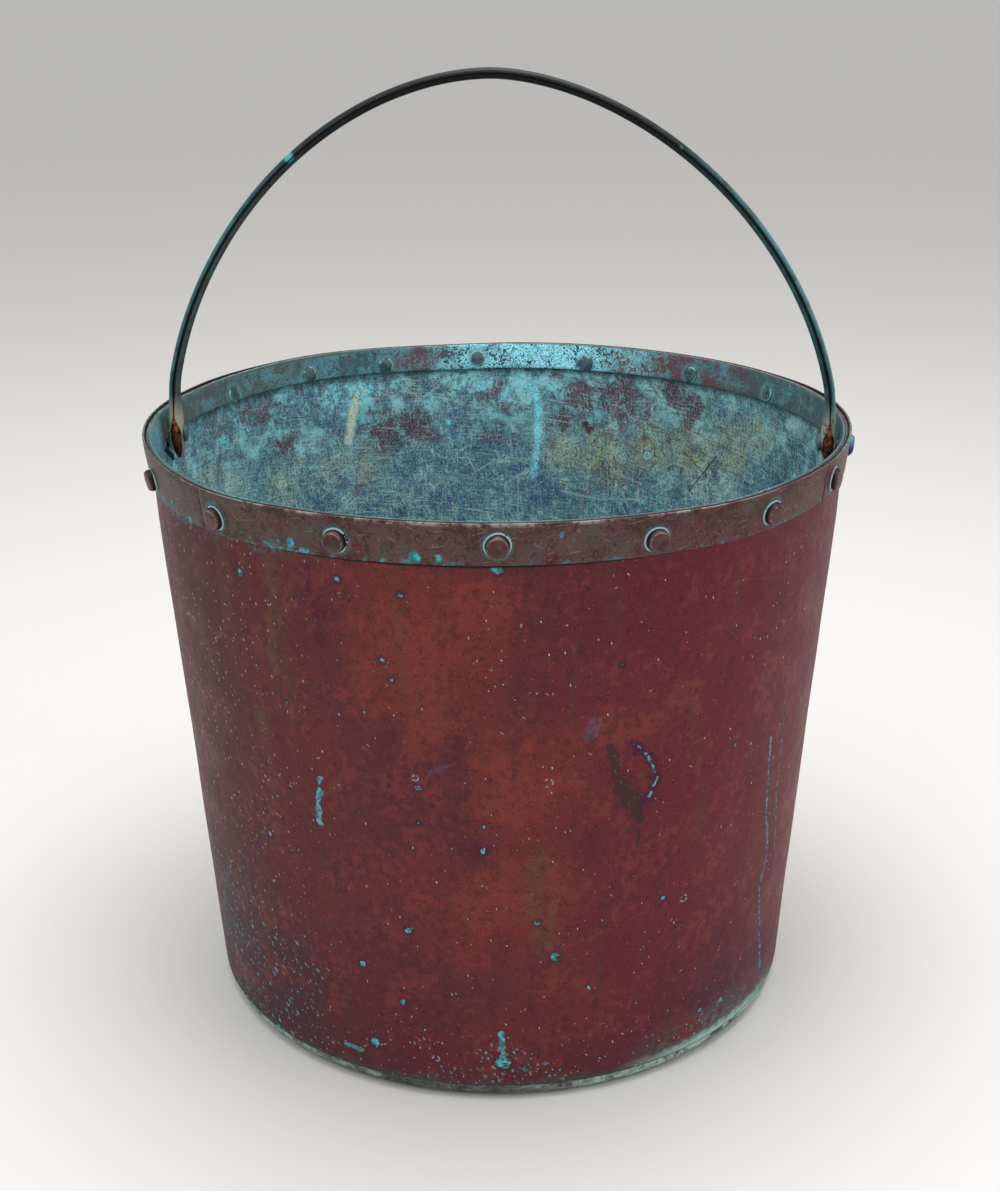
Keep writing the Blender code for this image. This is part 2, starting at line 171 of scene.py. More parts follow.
def makePiece(name, mesh, coats, body, stands=(), sharp=35):
    bmesh.ops.remove_doubles(mesh, verts=mesh.verts, dist=0.000005)
    data = meshData(mesh, name)
    data.shade_smooth()
    data.set_sharp_from_angle(angle=math.radians(sharp))
    for coat in coats:
        data.materials.append(coat)
    piece = linked(name, data)
    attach(piece, body)
    if stands:
        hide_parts(*stands)
    return piece


def bevelled(mesh, geom, size, segments, affect="EDGES"):
    bmesh.ops.bevel(
        mesh,
        geom=geom,
        offset=size,
        offset_type="OFFSET",
        segments=segments,
        profile=0.5,
        affect=affect,
        material=-1,
    )


def drawOutline(mesh, points, roundAt, size, rowHeight):
    # a closed outline as (radius, height), corners rounded and long sides divided, left as bare edges
    verts = [mesh.verts.new((0, -radius, height)) for radius, height in points]
    mesh.faces.new(verts)
    bevelled(mesh, [verts[i] for i in roundAt], size, 2, "VERTICES")
    for edge in [e for e in mesh.edges if e.calc_length() > rowHeight * 1.5]:
        bmesh.ops.subdivide_edges(mesh, edges=[edge], cuts=int(edge.calc_length() / rowHeight))
    bmesh.ops.delete(mesh, geom=list(mesh.faces), context="FACES_ONLY")


def spinOutline(mesh, start, end):
    whole = end - start > 359.9
    steps = max(4, round(bucket["stepsRound"] * (end - start) / 360))
    turn = Matrix.Rotation(math.radians(start), 3, "Z")
    bmesh.ops.rotate(mesh, verts=mesh.verts, cent=(0, 0, 0), matrix=turn)
    bmesh.ops.spin(
        mesh,
        geom=list(mesh.verts) + list(mesh.edges),
        cent=(0, 0, 0),
        axis=(0, 0, 1),
        angle=math.radians(end - start),
        steps=steps,
        use_merge=whole,
    )
    if not whole:
        bmesh.ops.holes_fill(mesh, edges=[e for e in mesh.edges if e.is_boundary])
        caps = [f for f in mesh.faces if len(f.verts) > 4]
        bevelled(mesh, [e for f in caps for e in f.edges], bucket["endRounding"], 2)
    bmesh.ops.recalc_face_normals(mesh, faces=mesh.faces)


def spinFully(mesh, geom, steps):
    # a line that starts and ends on the axis becomes a closed solid
    bmesh.ops.spin(
        mesh,
        geom=geom,
        cent=(0, 0, 0),
        axis=(0, 0, 1),
        angle=math.tau,
        steps=steps,
        use_merge=True,
    )
    bmesh.ops.remove_doubles(mesh, verts=mesh.verts, dist=0.00001)
    bmesh.ops.recalc_face_normals(mesh, faces=mesh.faces)


def wearIn(mesh):
    # pulls the ideal turned shape into the real one
    for vert in mesh.verts:
        angle = angleOf(vert.co)
        vert.co -= outward(angle) * earPull(angle, vert.co.z)
        vert.co += settle(vert.co)


def coatInside(mesh):
    # faces that look inwards take the second coat
    for face in mesh.faces:
        if face.normal.dot(outward(angleOf(face.calc_center_median()))) < -0.3:
            face.material_index = 1


# Shader sums written as Python

class Value:
    def __init__(self, paint, socket):
        self.paint = paint
        self.socket = socket

    def __add__(self, other):
        return self.paint.sum("ADD", self, other)

    def __sub__(self, other):
        return self.paint.sum("SUBTRACT", self, other)

    def __rsub__(self, other):
        return self.paint.sum("SUBTRACT", other, self)

    def __mul__(self, other):
        return self.paint.sum("MULTIPLY", self, other)

    def __truediv__(self, other):
        return self.paint.sum("DIVIDE", self, other)

    def __rtruediv__(self, other):
        return self.paint.sum("DIVIDE", other, self)

    def __lt__(self, other):
        return self.paint.sum("LESS_THAN", self, other)

    def __gt__(self, other):
        return self.paint.sum("GREATER_THAN", self, other)

    def __abs__(self):
        return self.paint.sum("ABSOLUTE", self)

    def __or__(self, other):
        return self.paint.sum("MAXIMUM", self, other)

    def __and__(self, other):
        return self.paint.sum("MINIMUM", self, other)

    __radd__ = __add__
    __rmul__ = __mul__
    __ror__ = __or__
    __rand__ = __and__


def addNode(tree, kind, settings=None, inputs=None):
    made = tree.nodes.new(kind)
    for name, value in (settings or {}).items():
        setattr(made, name, value)
    for name, value in (inputs or {}).items():
        if isinstance(value, Value):
            value = value.socket
        if isinstance(value, bpy.types.NodeSocket):
            tree.links.new(value, made.inputs[name])
        else:
            made.inputs[name].default_value = value
    return made


class Paint:
    def __init__(self, name, marks=None, face=onMetal):
        self.marks = marks
        self.face = face
        self.coat = None
        self.material = bpy.data.materials.new(name)
        self.material.use_nodes = True
        self.tree = self.material.node_tree
        self.tree.nodes.clear()
        self.place = self.node("ShaderNodeTexCoord").outputs["Object"]
        self.x, self.y, self.z = self.parts(self.place)

    def node(self, kind, settings=None, inputs=None):
        return addNode(self.tree, kind, settings, inputs)

    def parts(self, place):
        split = self.node("ShaderNodeSeparateXYZ", {}, {0: place})
        return [Value(self, socket) for socket in split.outputs]

    def ownPlace(self):
        # what keepOwnPlaces and sweepRings wrote at each point
        return self.node("ShaderNodeAttribute", {"attribute_name": "own"}).outputs["Vector"]

    def sum(self, operation, *values):
        made = self.node("ShaderNodeMath", {"operation": operation}, dict(enumerate(values)))
        return Value(self, made.outputs[0])

    def vector(self, operation, first, second=(0, 0, 0)):
        made = self.node("ShaderNodeVectorMath", {"operation": operation}, {0: first, 1: second})
        return made.outputs["Value" if operation in ("DISTANCE", "LENGTH", "DOT_PRODUCT") else "Vector"]

    def stretched(self, amounts, shift=0.0):
        moved = self.vector("ADD", self.place, (shift, shift * 0.7, shift * 1.3))
        return self.vector("MULTIPLY", moved, amounts)

    def cloud(self, size, detail=3.0, rough=0.55, twist=0.0, where=None):
        inputs = {"Vector": where or self.place, "Scale": 1 / size, "Detail": detail}
        inputs.update({"Roughness": rough, "Distortion": twist})
        return Value(self, self.node("ShaderNodeTexNoise", {}, inputs).outputs[0])

    def smooth(self, value, low, high, start=0.0, end=1.0):
        inputs = {"Value": value, "From Min": low, "From Max": high, "To Min": start, "To Max": end}
        made = self.node("ShaderNodeMapRange", {"interpolation_type": "SMOOTHSTEP"}, inputs)
        return Value(self, made.outputs[0])

    def blend(self, amount, under, over):
        inputs = {0: amount, 6: self.colour(under), 7: self.colour(over)}
        return self.node("ShaderNodeMix", {"data_type": "RGBA"}, inputs).outputs[2]

    def colour(self, value):
        return (*value, 1.0) if isinstance(value, tuple) else value

    def unrolled(self, tilt, length, width, shift=0.0):
        lean = math.radians(tilt)
        around = self.sum("ARCTAN2", self.y, self.x) * bucket["meanRadius"]
        along = (around * math.cos(lean) + self.z * math.sin(lean)) / length + shift
        across = (self.z * math.cos(lean) - around * math.sin(lean)) / width + shift
        return self.node("ShaderNodeCombineXYZ", {}, {0: along, 1: across}).outputs[0]

    def scatter(self, size, share, where=None, flat=False):
        # one random point to a cell: how far away in cells, whether its cell is picked, and how big it is
        settings = {"voronoi_dimensions": "2D" if flat else "3D"}
        inputs = {"Vector": where or self.place, "Scale": 1 / size}
        cell = self.node("ShaderNodeTexVoronoi", settings, inputs)
        pick = self.node("ShaderNodeSeparateColor", {}, {0: cell.outputs["Color"]})
        far = Value(self, cell.outputs["Distance"])
        return far, Value(self, pick.outputs[0]) < share, Value(self, pick.outputs[1]) * 0.7 + 0.3

    def dots(self, size, share, radius, where=None, edge=0.3, flat=False):
        far, picked, grown = self.scatter(size, share, where, flat)
        return self.smooth(far, grown * radius, grown * (radius * (1 - edge))) * picked

    def flicks(self, tilt, length, width, share, radius, shift=0.0):
        # short straight strokes on the unrolled wall, all leaning by one angle: length and width of a cell
        return self.dots(1.0, share, radius, self.unrolled(tilt, length, width, shift), edge=0.5, flat=True)

    def fromPoint(self, point):
        return Value(self, self.vector("DISTANCE", self.place, tuple(point)))

    def fromLine(self, start, end):
        # how far each place lies from a straight stroke between two points
        along = end - start
        reach = self.vector("SUBTRACT", self.place, tuple(start))
        share = Value(self, self.vector("DOT_PRODUCT", reach, tuple(along / along.length_squared)))
        share = (share | 0.0) & 1.0
        run = self.node("ShaderNodeVectorMath", {"operation": "SCALE"}, {0: tuple(along), "Scale": share})
        return Value(self, self.vector("DISTANCE", reach, run.outputs[0]))

    def spots(self, name):
        # how far it is to the nearest of these marks, each an angle, a height and a radius in millimetres
        found = [self.fromPoint(self.face(at, up / 1000)) - size / 1000 for at, up, size in self.marks[name]]
        return functools.reduce(operator.and_, found)

    def strokes(self, name, width):
        # how far it is to the nearest of these strokes, each a run of angles and heights
        found = []
        for stroke in self.marks[name]:
            places = [self.face(at, up / 1000) for at, up in stroke]
            found += [self.fromLine(start, end) for start, end in zip(places, places[1:])]
        return functools.reduce(operator.and_, found) - width / 1000

    def brushed(self, tilt, length, width, detail=2.0, shift=0.0):
        # noise drawn out along one direction on the unrolled wall
        flat = self.unrolled(tilt, length, width, shift)
        inputs = {"Vector": flat, "Scale": 1.0, "Detail": detail, "Roughness": 0.7}
        return Value(self, self.node("ShaderNodeTexNoise", {"noise_dimensions": "2D"}, inputs).outputs[0])

    def lay(self, amount, over):
        # one more coat over what is there already
        self.coat = self.blend(amount, self.coat, over)

    def finish(self, metallic, roughness, height=None, depth=0.0002, strength=0.6):
        inputs = {"Base Color": self.colour(self.coat), "Metallic": metallic, "Roughness": roughness}
        inputs["Specular IOR Level"] = 0.2
        if height is not None:
            relief = {"Height": height, "Distance": depth, "Strength": strength}
            inputs["Normal"] = self.node("ShaderNodeBump", {}, relief).outputs[0]
        surface = self.node("ShaderNodeBsdfPrincipled", {}, inputs)
        self.node("ShaderNodeOutputMaterial", {}, {0: surface.outputs[0]})
        return self.material


# Rivets of the rim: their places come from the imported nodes

def rivetPlace(name):
    # the axis runs through the middles of the head and of the tail
    corners = [vert.co for vert in nodes[name].data.vertices]
    middle = sum(corners, Vector()) / len(corners)
    out = Vector((middle.x, middle.y, 0)).normalized()
    rounded = {tuple(round(part, 6) for part in corner) for corner in corners}
    head = [Vector(corner) for corner in rounded if Vector(corner).dot(out) > middle.dot(out)]
    tail = [Vector(corner) for corner in rounded if Vector(corner).dot(out) <= middle.dot(out)]
    headMiddle = sum(head, Vector()) / len(head)
    tailMiddle = sum(tail, Vector()) / len(tail)
    axis = (headMiddle - tailMiddle).normalized()
    top = max((corner - headMiddle).dot(axis) for corner in head)
    return headMiddle + axis * top, axis


rivet = {
    "headHeight": 0.0037,
    "headGap": 0.0004,
    "headRadius": 0.0059,
    "faceRadius": 0.0049,
    "shankRadius": 0.0028,
    "tailRadius": 0.0050,
    "tailHeight": 0.0010,
    "stack": 0.0048,
    "collarRadius": 0.0067,
    "collarHeight": 0.00022,
    "sides": 40,
}
seats = {}
for name in sorted(name for name in nodes if name.startswith("rim_rivet")):
    top, axis = rivetPlace(name)
    seats[name] = (top - axis * (rivet["headHeight"] + rivet["headGap"]), axis)
print("rivets found:", len(seats))


# The outside of the wall

outsideMarks = {
    "warm": [(-6, 264, 30), (-2, 285, 22), (9, 200, 22), (10, 130, 16)],
    "olive": [((-29.5, 305), (-29.8, 228)), ((-36.0, 215), (-37.2, 140)), ((11.5, 158), (12.4, 100))],
    "purple": [
        (-23.0, 309, 5), (-22.4, 292, 8), (-20.6, 286, 6), (-21.2, 270, 5), (-4.6, 206, 2), (-1.8, 209, 2),
        (2.0, 158, 8),
    ],
    "dark": [((-0.2, 262), (-0.7, 214)), ((8.5, 262), (9.4, 232)), ((-1.0, 190), (-0.6, 150))],
    "lilacLine": [[(-5.2, 204), (-0.5, 211)]],
    "lilacHaze": [[(19.0, 223), (19.8, 230)]],
    "crimson": [(-7.2, 37, 8), (-10.0, 30, 7), (-3.7, 29, 6)],
    "crust": [
        (2.8, 159.3, 1.5), (-10.1, 107.4, 2.2), (-19.1, 80.3, 1.9), (-17.6, 29.3, 2.9), (-11.8, 60.3, 1.7),
        (5.7, 25.0, 4.0), (33.7, 116.9, 1.2), (11.4, 114.8, 1.4), (-10.5, 253.5, 1.0), (-11.7, 263.9, 1.0),
        (-8.4, 299.5, 1.3), (-18.1, 304.1, 1.3), (-7.2, 194.2, 1.3), (23.9, 259.7, 1.0), (-36.2, 297.2, 1.8),
        (9.5, 21.0, 1.6), (14.6, 92.4, 2.6), (5.3, 314.4, 2.6), (44.8, 30.8, 1.6), (50.5, 29.4, 2.0),
        (46.7, 196.7, 1.0),
    ],
    "rings": [
        (-8.7, 37.5, 1.6), (-6.3, 25.9, 1.8), (12.9, 198.0, 2.2), (2.8, 137.0, 1.5), (38.2, 112.4, 2.0),
        (-7.6, 199.8, 1.5),
    ],
    "crowded": [
        (5.5, 22, 14), (12, 14, 10), (-4, 14, 8), (-9, 34, 5), (-52, 60, 12), (-57, 90, 10), (-38, 30, 8),
        (48, 26, 8),
    ],
    "drips": [((-24.3, 190), (-25.3, 163)), ((5.5, 44), (5.6, 27)), ((-23.9, 22.5), (-20.9, 21.5))],
    "blueLine": [[(57.1, 189), (58.6, 149), (61.8, 111), (60.4, 89), (65.9, 26)]],
    "sideLine": [[(61.3, 205), (62.3, 150), (64.5, 121), (65.4, 107)]],
    "shape": [[(22.4, 214), (23.6, 204), (23.6, 196), (25.2, 188), (26.6, 180), (28.2, 170)]],
    "shapeTail": [[(26.6, 163.5), (28.4, 163), (28.2, 155)]],
    "shapeBlots": [(24.8, 190, 5), (26.2, 184, 5.5), (27.6, 174, 4)],
    "arc": [[(26.4, 214), (28.4, 208.6), (30.0, 200), (30.7, 191), (29.8, 183), (28.6, 179)]],
}


def paintOutside():
    p = Paint("outsideCopper", outsideMarks)
    broad = p.cloud(0.085, 2.0, 0.6, 0.3)
    middle = p.cloud(0.024, 3.0, 0.6, 0.3)
    sway = middle - 0.5
    fine = p.cloud(0.0046, 2.0, 0.65)
    jag = fine - 0.5
    grain = p.cloud(0.0011, 1.0, 0.5)
    grit = grain - 0.5
    runs = p.cloud(0.015, 3.0, 0.6, 0.2, p.stretched((1, 1, 0.07)))
    ragged = sway * 0.045 + jag * 0.012

    p.coat = p.blend(p.smooth(broad, 0.36, 0.62), (0.100, 0.021, 0.027), (0.134, 0.025, 0.026))
    warm = p.smooth(p.spots("warm") + ragged, 0.030, -0.020)
    p.lay(warm * 0.75, (0.190, 0.034, 0.025))
    right = p.smooth(p.x + sway * 0.10, 0.02, 0.13)
    p.lay(right * 0.85, (0.124, 0.012, 0.023))
    left = p.smooth(p.x + sway * 0.10, -0.05, -0.15)
    p.lay(left * 0.85, (0.060, 0.013, 0.017))
    p.lay(p.smooth(runs + (broad - 0.5) * 0.3, 0.54, 0.68) * 0.35, (0.090, 0.040, 0.028))
    p.lay(p.smooth(runs, 0.46, 0.34) * 0.30, (0.075, 0.018, 0.026))
    olive = p.smooth(p.strokes("olive", 4.0) + ragged * 0.5, 0.008, -0.006)
    p.lay(olive * p.smooth(runs, 0.36, 0.54) * 0.95, (0.088, 0.046, 0.028))
    stain = p.smooth(p.spots("purple") + ragged * 0.6, 0.004, -0.006)
    p.lay(stain * 0.85, (0.078, 0.012, 0.030))
    dark = p.smooth(p.strokes("dark", 3.0) + ragged * 0.6, 0.006, -0.006)
    p.lay(dark * 0.4, (0.055, 0.020, 0.022))
    lilac = p.strokes("lilacLine", 0.8) & p.strokes("lilacHaze", 3.0)
    lilac = p.smooth(lilac + ragged * 0.20, 0.001, -0.001)
    p.lay(lilac * 0.55, (0.100, 0.075, 0.120))

    # the foot of the wall goes dark and purple, most of all on the left
    lowLeft = p.smooth(p.fromPoint(onSkin(-50, 0.045)), 0.110, 0.030)
    lowRight = p.smooth(p.fromPoint(onSkin(52, 0.026)), 0.085, 0.020)
    low = p.smooth(p.z + ragged, 0.070, 0.010)
    p.lay(low * 0.45, (0.080, 0.020, 0.028))
    p.lay(lowLeft * p.smooth(middle, 0.30, 0.55) * 0.85, (0.052, 0.021, 0.034))
    p.lay(lowRight * p.smooth(middle, 0.34, 0.58) * 0.75, (0.070, 0.018, 0.036))
    crimson = p.smooth(p.spots("crimson") + ragged, 0.004, -0.006)
    p.lay(crimson * 0.8, (0.120, 0.010, 0.024))
    p.lay(p.smooth(fine + grit * 0.5, 0.53, 0.68) * 0.40, (0.048, 0.015, 0.018))
    p.lay(p.smooth(fine + sway * 0.8, 0.46, 0.32) * 0.35, (0.215, 0.040, 0.030))
    p.lay(p.smooth(grain, 0.58, 0.74) * 0.35, (0.035, 0.012, 0.014))
    p.lay(p.smooth(grain, 0.38, 0.26) * 0.22, (0.290, 0.085, 0.070))

    # the feather shaped scar with its tail, and the purple arc beside it
    edges = jag * 0.013
    shapeFar = p.strokes("shape", 2.2) & p.spots("shapeBlots")
    shape = p.smooth(shapeFar + edges, 0.0010, -0.0008)
    tail = p.smooth(p.strokes("shapeTail", 1.2) + edges, 0.0010, -0.0006)
    arcFar = p.strokes("arc", 2.6)
    p.lay(p.smooth(arcFar + edges, 0.0014, -0.0012) * 0.9, (0.052, 0.008, 0.028))
    p.lay((shape | tail) * 0.85, (0.040, 0.021, 0.023))
    feather = p.flicks(-66, 0.012, 0.0022, 0.6, 0.20, 3.3)
    p.lay(shape * feather * 0.7, (0.150, 0.085, 0.075))

    # dark pits, straight pale scratches, and tiny flecks that lean to the right going down
    pitFar, pitPicked, pitSize = p.scatter(0.0075, 0.20, p.stretched((1, 1, 1), 0.37))
    pits = p.smooth(pitFar, pitSize * 0.13, pitSize * 0.08) * pitPicked
    p.lay(pits * 0.85, (0.020, 0.009, 0.011))
    crowd = left * p.smooth(p.y, 0.06, 0.00, 0.45, 1.0) | low * 0.8 | lowLeft
    crowd = crowd * 0.7 + p.smooth(middle, 0.50, 0.66) * 0.35
    flecks = p.flicks(-48, 0.0085, 0.0038, 0.30, 0.120, 0.4) | p.flicks(-76, 0.0100, 0.0046, 0.26, 0.105, 3.4)
    flecks = flecks * p.smooth(crowd + jag, 0.12, 0.50)
    sparse = p.flicks(-80, 0.020, 0.0080, 0.35, 0.050, 7.7)
    ticks = p.flicks(28, 0.060, 0.0200, 0.30, 0.030, 4.1) | p.flicks(-35, 0.050, 0.0160, 0.30, 0.034, 9.3)
    p.lay(ticks * 0.65, (0.360, 0.250, 0.240))
    slant = p.flicks(-42, 0.0090, 0.0050, 0.85, 0.27, 1.9)
    slant = slant * p.smooth(lowLeft + sway * 1.6, 0.45, 0.85)
    crowded = p.smooth(p.spots("crowded") + ragged * 0.8, 0.005, -0.006)
    slant = slant | p.flicks(-70, 0.0048, 0.0036, 0.85, 0.36, 2.2) * crowded
    slant = slant * p.smooth(grain + jag, 0.36, 0.52)

    # verdigris, each crumb in a dark purple halo
    wild = jag * 0.0035
    crumbFar, crumbPicked, crumbSize = p.scatter(0.017, 0.16, p.stretched((1, 1, 0.8), 0.11))
    halo = p.smooth(crumbFar, crumbSize * 0.17, crumbSize * 0.10) * crumbPicked
    crumbs = p.smooth(crumbFar + wild * 26, crumbSize * 0.090, crumbSize * 0.050) * crumbPicked
    marked = p.spots("crust") + wild * 1.8
    crust = p.smooth(marked, 0.0003, -0.0006) * p.smooth(fine, 0.34, 0.48)
    ringed = p.smooth(abs(p.spots("rings") + wild * 0.5), 0.0006, 0.0002)
    drips = p.smooth(p.strokes("drips", 1.4) + wild * 1.6, 0.0004, -0.0005)
    beads = p.smooth(p.cloud(0.0026, 1.0, 0.6), 0.47, 0.55)
    blueFar = p.strokes("blueLine", 1.2) & p.strokes("sideLine", 0.6)
    p.lay(p.smooth(blueFar + wild * 0.4, 0.0008, 0.0001) * 0.7, (0.030, 0.035, 0.055))
    drawn = p.smooth(blueFar + wild, 0.0001, -0.0005) * beads
    arcBits = p.smooth(arcFar + wild, -0.0016, -0.0022) * beads
    underBand = p.smooth(p.z, neckHeight - 0.010, neckHeight - 0.001) * left
    underBand = underBand * p.smooth(fine + middle, 1.02, 1.14)
    p.lay((halo | p.smooth(marked, 0.0018, 0.0006)) * 0.65, (0.034, 0.014, 0.028))
    p.lay(ringed * beads * 0.9, (0.230, 0.280, 0.340))
    verdigris = crumbs | crust | drips * 0.85 | drawn * 0.9 | arcBits * 0.8 | underBand * 0.7 | slant * 0.85
    patchy = p.smooth(p.cloud(0.0030, 1.0, 0.5), 0.44, 0.60)
    tint = p.blend(patchy, (0.020, 0.170, 0.200), (0.060, 0.400, 0.480))
    tint = p.blend(p.smooth(grain, 0.52, 0.64) * 0.6, tint, (0.260, 0.480, 0.460))
    tint = p.blend(p.smooth(p.x, 0.10, 0.14) * 0.6, tint, (0.130, 0.200, 0.270))
    rubbed = lowRight * p.smooth(p.z + ragged * 0.7, 0.040, 0.012) * p.smooth(fine + middle, 0.86, 1.06)
    p.lay(rubbed * 0.75, (0.110, 0.150, 0.160))
    footLine = p.smooth(p.z + sway * 0.014, 0.0160, 0.0095)
    p.lay(footLine * 0.80, (0.052, 0.052, 0.042))
    footMint = lowRight * p.smooth(p.z + jag * 0.008, 0.0165, 0.0110)
    p.lay(footMint * 0.90, (0.340, 0.530, 0.500))
    speckle = flecks * 0.75 | sparse * 0.9
    p.lay(speckle, (0.480, 0.520, 0.520))
    p.lay(verdigris, tint)
    bandEdge = p.x * 0.006 + (rimHeight - 0.0218)
    shadow = p.smooth(p.z - bandEdge, -0.0016, -0.0006) * p.smooth(p.y, 0.00, -0.05)
    p.lay(shadow * 0.95, (0.006, 0.008, 0.008))

    dull = verdigris | footLine | shape
    metallic = p.smooth(dull, 0.0, 1.0, 0.30, 0.0)
    roughness = 0.54 + sway * 0.25 + jag * 0.12 + dull * 0.25
    height = fine * 0.12 + grain * 0.10 + middle * 0.20 - pits * 0.5 + crumbs * 0.8
    return p.finish(metallic, roughness, height, 0.00035, 0.55)


# The inside of the wall and the floor of the bucket

def onInside(angle, height):
    return onMetal(angle, height, -bucket["wall"])


insideMarks = {
    "maroon": [
        (183, 298, 8), (187, 306, 6), (169, 304, 12), (160, 302, 13), (151, 305, 12), (143, 305, 9),
        (-150, 284, 9), (-158, 282, 9), (-150, 274, 6), (-128, 287, 5), (172, 290, 6),
    ],
    "brown": [(-111, 314, 7), (-118, 313, 8), (-124, 308, 6)],
    "yellow": [
        (172, 266, 11), (163, 262, 15), (153, 274, 14), (143, 276, 15), (133, 284, 13), (126, 298, 10),
        (-146, 258, 9),
    ],
    "sage": [(-104, 282, 9), (-113, 272, 11), (-126, 260, 10), (-138, 260, 10)],
    "navy": [
        (174, 290, 6), (181, 271, 9), (195, 284, 11), (185, 238, 14), (175, 240, 11), (164, 246, 7),
        (152, 246, 7), (193, 234, 16), (-131, 308, 9), (-139, 304, 8), (-158, 240, 12), (-143, 248, 9),
    ],
    "teal": [(116, 296, 12), (108, 285, 14), (112, 306, 9), (104, 270, 14), (120, 280, 10), (96, 290, 12)],
    "cyan": [
        (-148, 312, 4), (-144, 313, 3), (-120, 284, 3), (-132, 279, 3.5), (-164.5, 285, 1.8), (-112, 299, 4),
        (113.5, 283, 2.2), (178.5, 310, 4), (175.4, 305, 2.5), (181, 306, 2),
    ],
    "red": [(166.3, 281, 2.8), (167.2, 285, 2.2), (165.2, 274.5, 1.6)],
    "ring": [(153.5, 268, 2.2)],
    "cyanDrip": [[(178.6, 312), (177.2, 299), (177.0, 286), (177.0, 266), (178, 247)]],
    "creamDrip": [[(-146.6, 311), (-145.2, 304), (-144.2, 296), (-143.0, 279)]],
    "greenDrip": [[(140.7, 318), (139.8, 292)]],
    "lowArc": [[(172, 237), (168, 235), (164, 233.5), (155, 237)]],
    "seam": [[(181.2, 245), (181.2, 214)]],
    "cuts": [((143, 250), (137, 277)), ((145, 275), (139, 262))],
    "earHole": [[(-86.3, 321), (-88.5, 316), (-92.0, 308)]],
}


